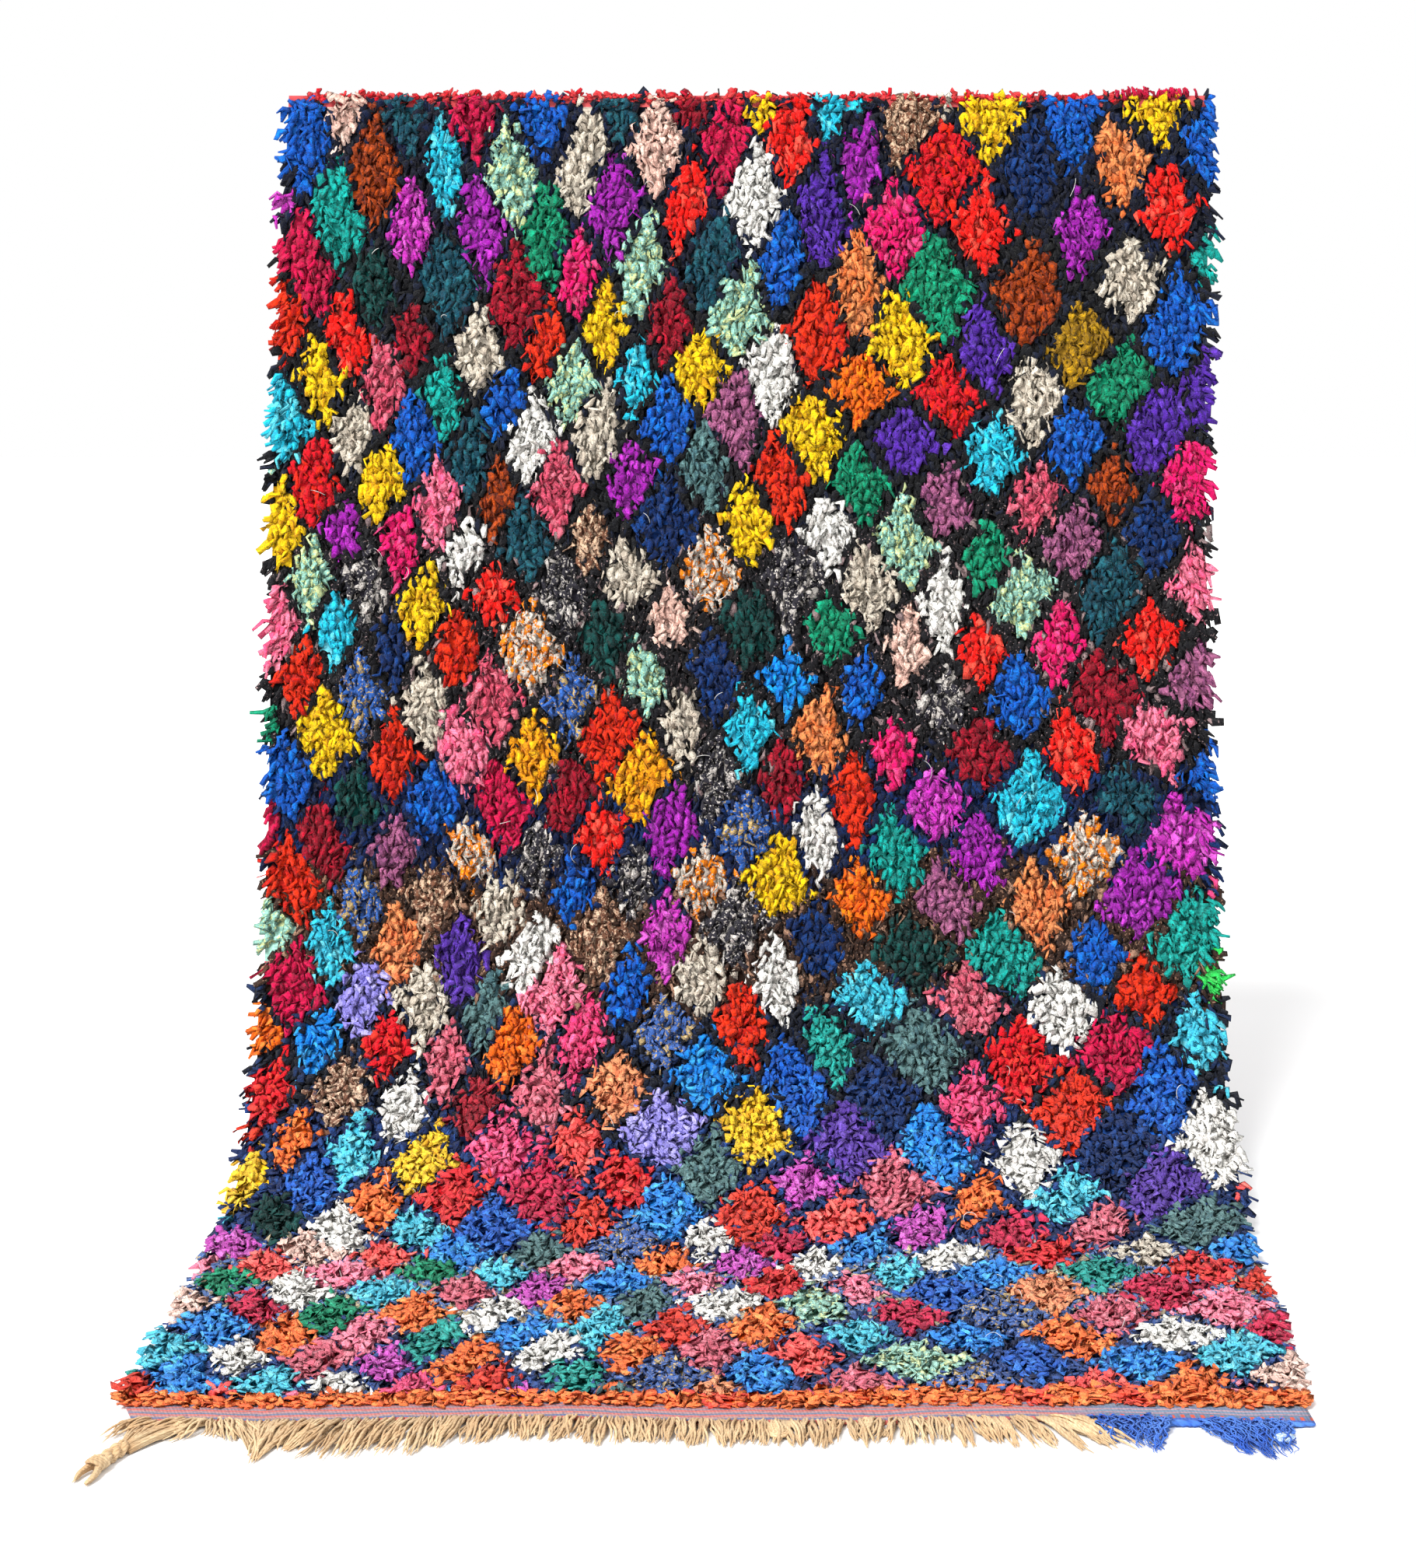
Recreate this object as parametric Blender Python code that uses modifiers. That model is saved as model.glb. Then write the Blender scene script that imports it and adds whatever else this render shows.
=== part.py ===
"""Boucherouite rug, a shaggy rag rug that hangs from its top edge and runs out over the floor.

Metres, +Z up. The origin is the middle of the top edge, at the back of the cloth. The pile faces -Y
where the rug hangs and +Z where it lies, and +X is the right-hand side of somebody who faces it.
"""

import math
from collections import namedtuple

import bmesh
import bpy
import numpy as np

# Lengths along the cloth, from the top edge
TOP_BAND_END = 0.018
PILE_END = 2.400
FLAT_WEAVE_START = 2.415
CLOTH_LENGTH = 2.470

# The hanging part leans a little, then the cloth bends smoothly until it lies on the floor
LEAN = math.radians(9.0)
BEND_START = 1.10
BEND_END = 2.10
PROFILE_STEP = 0.001

# Both long sides, as distances from the middle of the top edge
Selvage = namedtuple("Selvage", "along left right")
SELVAGES = (
    Selvage(along=0.00, left=-0.720, right=0.722),
    Selvage(along=0.58, left=-0.742, right=0.710),
    Selvage(along=0.97, left=-0.746, right=0.714),
    Selvage(along=1.37, left=-0.750, right=0.722),
    Selvage(along=1.72, left=-0.757, right=0.720),
    Selvage(along=1.86, left=-0.768, right=0.706),
    Selvage(along=2.08, left=-0.778, right=0.698),
    Selvage(along=2.28, left=-0.788, right=0.688),
    Selvage(along=2.40, left=-0.796, right=0.678),
    Selvage(along=2.47, left=-0.770, right=0.680),
)

# The front edge waves a little across the width
EDGE_WAVE = 0.006
EDGE_WAVES_ACROSS = 2.3

FLAT_ANGLE = math.radians(0.3)

# Thickness of the cloth and its pile
BAND_THICKNESS = 0.006
WEAVE_THICKNESS = 0.004
GROOVE_THICKNESS = 0.013
HUNG_MOUND = 0.016
LAID_MOUND = 0.021
LUMP_SPREAD = 0.003
SELVAGE_THICKNESS = 0.012
MAX_THICKNESS = 0.042

# Lozenges of the pile: how many side by side, and the depth of one rank in each zone
LOZENGES_ACROSS = 13
RankZone = namedtuple("RankZone", "along depth")
RANK_ZONES = (
    RankZone(along=0.00, depth=0.083),
    RankZone(along=0.95, depth=0.068),
    RankZone(along=1.70, depth=0.062),
)

# Grid of the slab: points in a lozenge's width, and rows in a rank
COLUMNS_PER_LOZENGE = 4
COLUMNS = LOZENGES_ACROSS * COLUMNS_PER_LOZENGE
ROWS_PER_RANK = 2

# How far the lozenges stray from even rows, in half widths and in ranks, and how fast that turns
SIDE_DRIFT = 0.16
SIDE_DRIFT_TURN = 0.9
RANK_DRIFT = 0.14
RANK_DRIFT_TURN = 0.43

# Rag locks that stand out along the sides
LOCK_SHORT = 0.008
LOCK_LONG = 0.026
LOCK_DROOP_LEAST = 0.003
LOCK_DROOP_MOST = 0.009
LOCK_THICKNESS = 0.005
LOCK_SEED = 11

# Fringe strips along the front edge
SEAT_GAP = 0.0003
STRIP_DEPTH = 0.008
FRINGE_THICKNESS = 0.003
BEIGE_LEFT = -0.768
BEIGE_RIGHT = 0.3985
BLUE_LEFT = 0.4000
BLUE_RIGHT = 0.6800
BLUE_STRIP_DEPTH = 0.011
# A strand's width, as a share of the distance to the next one
STRAND_SHARE = 0.58
STRAND_FRINGE_SEED = 5

# Each strand bends once: how far sideways and forward that is, and how wide it still is there
BEND_SIDEWAYS = 0.42
BEND_FORWARD = 0.55
BEND_WIDTH = 0.9

# Strands of a clump draw together to this share of their spacing, and the shortest are this long
CLUMP_CONVERGENCE = 0.35
SHORTEST_STRAND = 0.86

Clump = namedtuple("Clump", "left right strands lean length")
# The first strands at the left corner lie out to the side, and the next ones follow the braid
CORNER_CLUMPS = (
    Clump(left=-0.767, right=-0.749, strands=3, lean=-0.040, length=0.030),
    Clump(left=-0.694, right=-0.650, strands=6, lean=-0.044, length=0.070),
    Clump(left=-0.649, right=-0.606, strands=6, lean=-0.030, length=0.074),
    Clump(left=-0.605, right=-0.566, strands=5, lean=-0.016, length=0.056),
)
MIDDLE_CLUMP_START = -0.564
MIDDLE_CLUMPS = 17
MIDDLE_STRANDS = 7
MIDDLE_LEAN = 0.014
MIDDLE_LEAN_SPREAD = 0.004
MIDDLE_LEAN_TURN = 2.1
MIDDLE_LENGTH_SHORT = 0.056
MIDDLE_LENGTH_LONG = 0.098

BLUE_CLUMPS = (
    Clump(left=0.403, right=0.431, strands=6, lean=0.008, length=0.048),
    Clump(left=0.433, right=0.457, strands=5, lean=0.010, length=0.060),
    Clump(left=0.468, right=0.500, strands=7, lean=-0.012, length=0.070),
    Clump(left=0.538, right=0.572, strands=7, lean=0.028, length=0.074),
    Clump(left=0.573, right=0.605, strands=7, lean=0.020, length=0.088),
    Clump(left=0.608, right=0.643, strands=6, lean=0.006, length=0.076),
)

# The gathered warp ends at the corner: how far in front of the cloth, where, how wide and how high
Station = namedtuple("Station", "front x half_width height")
BRAID = (
    Station(front=0.0000, x=-0.7215, half_width=0.0225, height=0.005),
    Station(front=0.0300, x=-0.7400, half_width=0.0190, height=0.009),
    Station(front=0.0540, x=-0.7570, half_width=0.0140, height=0.012),
    Station(front=0.0720, x=-0.7690, half_width=0.0090, height=0.012),
    Station(front=0.0830, x=-0.7760, half_width=0.0130, height=0.018),
    Station(front=0.0930, x=-0.7820, half_width=0.0095, height=0.013),
    Station(front=0.1040, x=-0.7890, half_width=0.0140, height=0.020),
    Station(front=0.1150, x=-0.7950, half_width=0.0105, height=0.015),
    Station(front=0.1250, x=-0.8000, half_width=0.0130, height=0.014),
    Station(front=0.1400, x=-0.8050, half_width=0.0140, height=0.009),
    Station(front=0.1560, x=-0.8090, half_width=0.0110, height=0.005),
)
BRAID_COLUMNS = 6
TAIL_ROWS = 2
TAIL_GAP_COLUMNS = (2, 3)
# Its rows lie askew, as it runs out to the left
BRAID_SLANT = 0.4
BRAID_EDGE_SHARE = 0.35
BRAID_MAX_HEIGHT = 0.024

# Cloth colours, as red, green and blue
RAG_COLOUR = (0.30, 0.13, 0.20)
BEIGE_COLOUR = (0.68, 0.54, 0.36)
BLUE_COLOUR = (0.05, 0.16, 0.72)
BRAID_COLOUR = (0.66, 0.52, 0.34)
RAG_ROUGHNESS = 0.95
WOOL_ROUGHNESS = 0.9


def clear_scene():
    """Removes every object, so that the rug is built in an empty scene."""
    for item in list(bpy.data.objects):
        bpy.data.objects.remove(item, do_unlink=True)


def make_material(name, colour, roughness):
    """Makes a plain cloth material."""
    material = bpy.data.materials.new(name)
    material.use_nodes = True
    shader = material.node_tree.nodes["Principled BSDF"]
    shader.inputs["Base Color"].default_value = (*colour, 1.0)
    shader.inputs["Roughness"].default_value = roughness
    shader.inputs["Metallic"].default_value = 0.0
    material.diffuse_color = (*colour, 1.0)
    return material


def adopt(item, name, material, collection):
    """Names an object, gives it its material and moves it to the rug's collection."""
    item.name = name
    item.data.name = name
    item.data.materials.clear()
    item.data.materials.append(material)
    for owner in list(item.users_collection):
        owner.objects.unlink(item)
    collection.objects.link(item)


def side_profile():
    """Works out how far the cloth comes forward and drops, step by step along its length."""
    along = np.arange(0.0, CLOTH_LENGTH + EDGE_WAVE + 2 * PROFILE_STEP, PROFILE_STEP)
    part_way = np.clip((along - BEND_START) / (BEND_END - BEND_START), 0.0, 1.0)
    angle = LEAN + (math.pi / 2 - LEAN) * part_way**2 * (3 - 2 * part_way)
    forward = np.concatenate(([0.0], np.cumsum(np.sin(angle[:-1]) * PROFILE_STEP)))
    drop = np.concatenate(([0.0], np.cumsum(np.cos(angle[:-1]) * PROFILE_STEP)))
    return along, forward, drop


PROFILE_ALONG, PROFILE_FORWARD, PROFILE_DROP = side_profile()
FLOOR = -float(PROFILE_DROP[-1])


def edge_wave(share):
    """Gives the front edge's small wave at a share of the width, from 0 at the left to 1."""
    return EDGE_WAVE * math.sin(share * EDGE_WAVES_ACROSS * math.tau)


def back_point(share, along):
    """Gives a point on the back of the cloth, at a share of the width and a length along it."""
    columns = np.array(SELVAGES)
    left = np.interp(along, columns[:, 0], columns[:, 1])
    right = np.interp(along, columns[:, 0], columns[:, 2])
    laid = max(0.0, (along - BEND_END) / (CLOTH_LENGTH - BEND_END))
    reach = along + edge_wave(share) * laid
    forward = np.interp(reach, PROFILE_ALONG, PROFILE_FORWARD)
    drop = np.interp(reach, PROFILE_ALONG, PROFILE_DROP)
    return float(left + (right - left) * share), -float(forward), -float(drop)


def front_edge_y(x):
    """Gives where the front edge of the cloth lies at a distance from the middle."""
    end = SELVAGES[-1]
    share = (x - end.left) / (end.right - end.left)
    return back_point(share, CLOTH_LENGTH)[1]


def rank_at(along):
    """Counts the ranks of lozenges from the top edge to a length along the cloth."""
    ends = [zone.along for zone in RANK_ZONES[1:]] + [CLOTH_LENGTH]
    rank = 0.0
    for zone, end in zip(RANK_ZONES, ends):
        rank += max(0.0, min(along, end) - zone.along) / zone.depth
    return rank


def mound_at(share, along):
    """Gives the mound of a lozenge: 1 at its middle and 0 on its sides, drifting a little by hand."""
    rank = rank_at(along)
    column = 2 * LOZENGES_ACROSS * share
    column += SIDE_DRIFT * math.sin(SIDE_DRIFT_TURN * rank)
    rank += RANK_DRIFT * math.sin(RANK_DRIFT_TURN * column)
    rising = abs(math.cos(math.pi * (column + rank) / 2))
    falling = abs(math.cos(math.pi * (column - rank) / 2))
    return math.sqrt(rising * falling)


def pile_thickness(share, along, chance):
    """Gives the cloth's thickness with its pile at a point of the field."""
    laid = min(1.0, max(0.0, (along - BEND_START) / (BEND_END - BEND_START)))
    mound = HUNG_MOUND + (LAID_MOUND - HUNG_MOUND) * laid
    lump = chance.uniform(-LUMP_SPREAD, LUMP_SPREAD)
    return GROOVE_THICKNESS + mound * mound_at(share, along) + lump


def grid_rows():
    """Lists the lengths along the cloth at which its rows of points lie."""
    steps = round((rank_at(PILE_END) - rank_at(TOP_BAND_END)) * ROWS_PER_RANK)
    lengths = np.arange(0.0, CLOTH_LENGTH, PROFILE_STEP)
    ranks = [rank_at(length) for length in lengths]
    wanted = np.linspace(rank_at(TOP_BAND_END), rank_at(PILE_END), steps + 1)
    pile = [float(length) for length in np.interp(wanted, ranks, lengths)]
    weave_middle = (FLAT_WEAVE_START + CLOTH_LENGTH) / 2
    return [0.0] + pile + [FLAT_WEAVE_START, weave_middle, CLOTH_LENGTH]


def add_thickness(item, thicknesses, most):
    """Gives a surface its thickness toward the front, with a weight for each point."""
    group = item.vertex_groups.new(name="thickness")
    for index, thickness in enumerate(thicknesses):
        group.add([index], thickness / most, "REPLACE")
    solidify = item.modifiers.new("thickness", "SOLIDIFY")
    solidify.thickness = most
    solidify.offset = 1.0
    solidify.vertex_group = group.name
    solidify.use_even_offset = False


def new_grid(columns, rows):
    """Adds a flat unit grid and opens it for editing, with its points' column and row shares."""
    bpy.ops.mesh.primitive_grid_add(x_subdivisions=columns, y_subdivisions=rows, size=1.0)
    item = bpy.context.active_object
    mesh = bmesh.new()
    mesh.from_mesh(item.data)
    mesh.verts.ensure_lookup_table()
    shares = [(vertex.co.x + 0.5, 0.5 - vertex.co.y) for vertex in mesh.verts]
    return item, mesh, shares


def side_edges_of_pile(mesh, rows):
    """Lists the edges along both long sides, from the first row of the pile to its last."""
    first_row = 1
    last_row = rows.index(FLAT_WEAVE_START) - 1
    edges = []
    for edge in mesh.edges:
        indices = [vertex.index for vertex in edge.verts]
        # The grid's points run from the front edge up to the top edge, a row at a time
        edge_rows = [len(rows) - 1 - index // (COLUMNS + 1) for index in indices]
        columns = {index % (COLUMNS + 1) for index in indices}
        if columns in ({0}, {COLUMNS}) and min(edge_rows) >= first_row and max(edge_rows) <= last_row:
            edges.append(edge)
    return edges


def add_side_locks(mesh, rows, chance):
    """Pulls two rag locks out of each side edge between two rows, and counts the new points."""
    halves = bmesh.ops.subdivide_edges(mesh, edges=side_edges_of_pile(mesh, rows), cuts=1)
    valleys = [item for item in halves["geom_inner"] if isinstance(item, bmesh.types.BMVert)]
    mesh.edges.index_update()
    half_edges = {edge for valley in valleys for edge in valley.link_edges if edge.is_boundary}
    lock_edges = sorted(half_edges, key=lambda edge: edge.index)
    quarters = bmesh.ops.subdivide_edges(mesh, edges=lock_edges, cuts=1)
    tips = [item for item in quarters["geom_inner"] if isinstance(item, bmesh.types.BMVert)]
    tips.sort(key=lambda tip: (tip.co.x > 0.0, tip.co.z, tip.co.y))
    for tip in tips:
        outward = chance.uniform(LOCK_SHORT, LOCK_LONG)
        droop = chance.uniform(LOCK_DROOP_LEAST, LOCK_DROOP_MOST)
        tip.co.x += math.copysign(outward, tip.co.x)
        tip.co.z = max(tip.co.z - droop, FLOOR)
    return len(valleys), len(tips)


def build_rug_body(collection):
    """Builds the cloth with its pile, from the back surface, its thickness and the side locks."""
    rows = grid_rows()
    item, mesh, shares = new_grid(COLUMNS, len(rows) - 1)
    chance = np.random.default_rng(LOCK_SEED)
    thicknesses = []
    for vertex, (share, row_share) in zip(mesh.verts, shares):
        along = rows[round(row_share * (len(rows) - 1))]
        vertex.co = back_point(share, along)
        if along < TOP_BAND_END:
            thickness = BAND_THICKNESS
        elif along >= FLAT_WEAVE_START:
            thickness = WEAVE_THICKNESS
        elif round(share * COLUMNS) in (0, COLUMNS):
            thickness = SELVAGE_THICKNESS
        else:
            thickness = pile_thickness(share, along, chance)
        thicknesses.append(thickness)
    valleys, tips = add_side_locks(mesh, rows, chance)
    thicknesses.extend([SELVAGE_THICKNESS] * valleys + [LOCK_THICKNESS] * tips)
    mesh.to_mesh(item.data)
    mesh.free()
    adopt(item, "rug_body", make_material("rag_pile", RAG_COLOUR, RAG_ROUGHNESS), collection)
    add_thickness(item, thicknesses, MAX_THICKNESS)
    # The back is straight across, so its flat strips become single faces
    merge = item.modifiers.new("flat_back", "DECIMATE")
    merge.decimate_type = "DISSOLVE"
    merge.angle_limit = FLAT_ANGLE
    return item


def strand_points(root_x, root_y, tip_x, length, half):
    """Gives one strand's outline from its left root to its right root, bending to its tip."""
    bend_x = root_x + (tip_x - root_x) * BEND_SIDEWAYS
    bend_y = root_y - length * BEND_FORWARD
    bend_half = half * BEND_WIDTH
    return [
        (root_x - half, root_y),
        (bend_x - bend_half, bend_y),
        (tip_x, root_y - length),
        (bend_x + bend_half, bend_y),
        (root_x + half, root_y),
    ]


def clump_points(clump, strip_depth, chance):
    """Gives the outlines of a clump's strands, which draw together at their tips."""
    points = []
    middle = (clump.left + clump.right) / 2
    pitch = (clump.right - clump.left) / clump.strands
    for number in range(clump.strands):
        root_x = clump.left + pitch * (number + 0.5)
        root_y = front_edge_y(root_x) - SEAT_GAP - strip_depth
        share = chance.uniform(SHORTEST_STRAND, 1.0)
        end_x = middle + (root_x - middle) * CLUMP_CONVERGENCE + clump.lean
        tip_x = root_x + (end_x - root_x) * share
        length = clump.length * share
        points.extend(strand_points(root_x, root_y, tip_x, length, pitch * STRAND_SHARE / 2))
    return points


def middle_clumps(chance):
    """Lists the clumps of the long middle stretch, which differ a little from each other."""
    pitch = (BEIGE_RIGHT - MIDDLE_CLUMP_START) / MIDDLE_CLUMPS
    clumps = []
    for number in range(MIDDLE_CLUMPS):
        left = MIDDLE_CLUMP_START + pitch * number
        lean = MIDDLE_LEAN * math.sin(MIDDLE_LEAN_TURN * number)
        lean += chance.uniform(-MIDDLE_LEAN_SPREAD, MIDDLE_LEAN_SPREAD)
        length = chance.uniform(MIDDLE_LENGTH_SHORT, MIDDLE_LENGTH_LONG)
        clumps.append(Clump(left, left + pitch, MIDDLE_STRANDS, lean, length))
    return clumps


def fringe_outline(clumps, left, right, strip_depth, chance):
    """Gives the outline of a strip along the front edge with its strands, seen from above."""
    outline = []
    for clump in clumps:
        outline.extend(clump_points(clump, strip_depth, chance))
    outline.append((right, front_edge_y(right) - SEAT_GAP - strip_depth))
    stops = np.linspace(right, left, COLUMNS)
    outline.extend((float(x), front_edge_y(float(x)) - SEAT_GAP) for x in stops)
    outline.append((left, front_edge_y(left) - SEAT_GAP - strip_depth))
    return outline


def build_fringe(name, outline, colour, collection):
    """Builds a strip with its strands from their outline, lying flat on the floor."""
    curve = bpy.data.curves.new(name, "CURVE")
    curve.dimensions = "2D"
    curve.fill_mode = "BOTH"
    curve.extrude = FRINGE_THICKNESS / 2
    spline = curve.splines.new("POLY")
    spline.points.add(len(outline) - 1)
    for point, (x, y) in zip(spline.points, outline):
        point.co = (x, y, 0.0, 1.0)
    spline.use_cyclic_u = True
    item = bpy.data.objects.new(name, curve)
    item.location.z = FLOOR + FRINGE_THICKNESS / 2
    bpy.context.scene.collection.objects.link(item)
    adopt(item, name, make_material(name, colour, WOOL_ROUGHNESS), collection)
    return item


def build_corner_braid(collection):
    """Builds the gathered, plaited and knotted warp ends at the left front corner."""
    item, mesh, shares = new_grid(BRAID_COLUMNS, len(BRAID) - 1)
    start_y = front_edge_y(BRAID[0].x) - STRIP_DEPTH - 2 * SEAT_GAP
    thicknesses = []
    for vertex, (share, row_share) in zip(mesh.verts, shares):
        station = BRAID[round(row_share * (len(BRAID) - 1))]
        across = 2 * share - 1
        x = station.x + across * station.half_width
        if station.front == 0.0:
            y = front_edge_y(x) - STRIP_DEPTH - 2 * SEAT_GAP
        else:
            y = start_y - station.front - across * station.half_width * BRAID_SLANT
        vertex.co = (x, y, FLOOR)
        dome = BRAID_EDGE_SHARE + (1 - BRAID_EDGE_SHARE) * math.sqrt(max(0.0, 1 - across**2))
        thicknesses.append(station.height * dome)
    # The grid's faces run from the tails back to the cloth, a row at a time
    between_tails = [
        face
        for face in mesh.faces
        if face.index // BRAID_COLUMNS < TAIL_ROWS and face.index % BRAID_COLUMNS in TAIL_GAP_COLUMNS
    ]
    bmesh.ops.delete(mesh, geom=between_tails, context="FACES")
    mesh.to_mesh(item.data)
    mesh.free()
    adopt(item, "corner_braid", make_material("braid_wool", BRAID_COLOUR, WOOL_ROUGHNESS), collection)
    add_thickness(item, thicknesses, BRAID_MAX_HEIGHT)
    return item


def main():
    """Builds the rug."""
    clear_scene()
    collection = bpy.data.collections.new("boucherouite_rug")
    bpy.context.scene.collection.children.link(collection)
    build_rug_body(collection)
    chance = np.random.default_rng(STRAND_FRINGE_SEED)
    beige_clumps = list(CORNER_CLUMPS) + middle_clumps(chance)
    beige_outline = fringe_outline(beige_clumps, BEIGE_LEFT, BEIGE_RIGHT, STRIP_DEPTH, chance)
    build_fringe("beige_fringe", beige_outline, BEIGE_COLOUR, collection)
    blue_outline = fringe_outline(BLUE_CLUMPS, BLUE_LEFT, BLUE_RIGHT, BLUE_STRIP_DEPTH, chance)
    build_fringe("blue_fringe", blue_outline, BLUE_COLOUR, collection)
    build_corner_braid(collection)


main()
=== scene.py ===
"""Boucherouite rug, a shaggy rag rug hung from its top edge with its front laid on the floor.

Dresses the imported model: a woven ground with knotted rag pile in lozenges of many colours, an orange
pile band, a flat-woven end, and the fringes and corner braid in front. Lengths are in metres, and the
origin is the middle of the top edge, at the back of the cloth.
"""

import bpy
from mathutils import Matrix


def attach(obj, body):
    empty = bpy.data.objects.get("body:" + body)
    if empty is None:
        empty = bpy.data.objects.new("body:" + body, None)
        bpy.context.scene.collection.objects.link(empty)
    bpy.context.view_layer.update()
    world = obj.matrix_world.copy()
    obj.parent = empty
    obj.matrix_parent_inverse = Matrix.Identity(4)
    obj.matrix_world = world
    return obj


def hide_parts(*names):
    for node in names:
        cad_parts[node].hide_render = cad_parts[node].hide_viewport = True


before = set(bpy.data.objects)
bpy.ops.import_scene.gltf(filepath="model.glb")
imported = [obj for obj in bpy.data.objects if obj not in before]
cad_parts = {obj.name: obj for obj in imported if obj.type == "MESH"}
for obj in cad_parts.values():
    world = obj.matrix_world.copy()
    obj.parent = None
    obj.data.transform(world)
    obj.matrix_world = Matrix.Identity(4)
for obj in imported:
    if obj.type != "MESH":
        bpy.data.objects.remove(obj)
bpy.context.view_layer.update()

import logging
import math
from dataclasses import dataclass, field
from enum import Enum
from functools import reduce
from typing import NamedTuple

import bpy
import numpy as np

LOG = logging.getLogger("rug")
BODY = "root"

Array = np.ndarray
Chance = np.random.Generator
Colour = tuple[int, int, int]
Material = bpy.types.Material
Mesh = bpy.types.Mesh
Piece = bpy.types.Object
Socket = bpy.types.NodeSocket

ACROSS = np.array([[1.0, 0.0, 0.0]])
UP = np.array([[0.0, 0.0, 1.0]])
# How far locks and yarns keep above the floor, and how far above it a yarn lies
LOCK_GAP = 0.0006
YARN_GAP = 0.0003
REST_GAP = 0.0004


class Part(Enum):
    """What pieces stand for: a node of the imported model, with its material slot."""

    RUG = ("rug_body", "rag_pile")
    BEIGE = ("beige_fringe", "undyed_wool")
    BLUE = ("blue_fringe", "blue_wool")
    BRAID = ("corner_braid", "braid_wool")


class Zone(Enum):
    """The stretches of the rug, each knotted from its own heap of rags, and where each ends."""

    TOP = 0.56
    UPPER = 1.02
    MIDDLE = 1.40
    LOWER = 1.86
    FLOOR = 9.0


@dataclass(frozen=True)
class Rag:
    """A bundle of rags of one cloth.

    Attributes:
        colour: Its main colour.
        partner: The second colour in it.
        mix: Share of its locks that are cut from the second colour.
        fleck: Share of each lock's face that shows the second colour.
        shares: How many lozenges are knotted from it in each zone, from the top to the floor.
    """

    colour: Colour
    partner: Colour
    mix: float
    fleck: float
    shares: tuple[int, ...] = (0, 0, 0, 0, 0)


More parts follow.
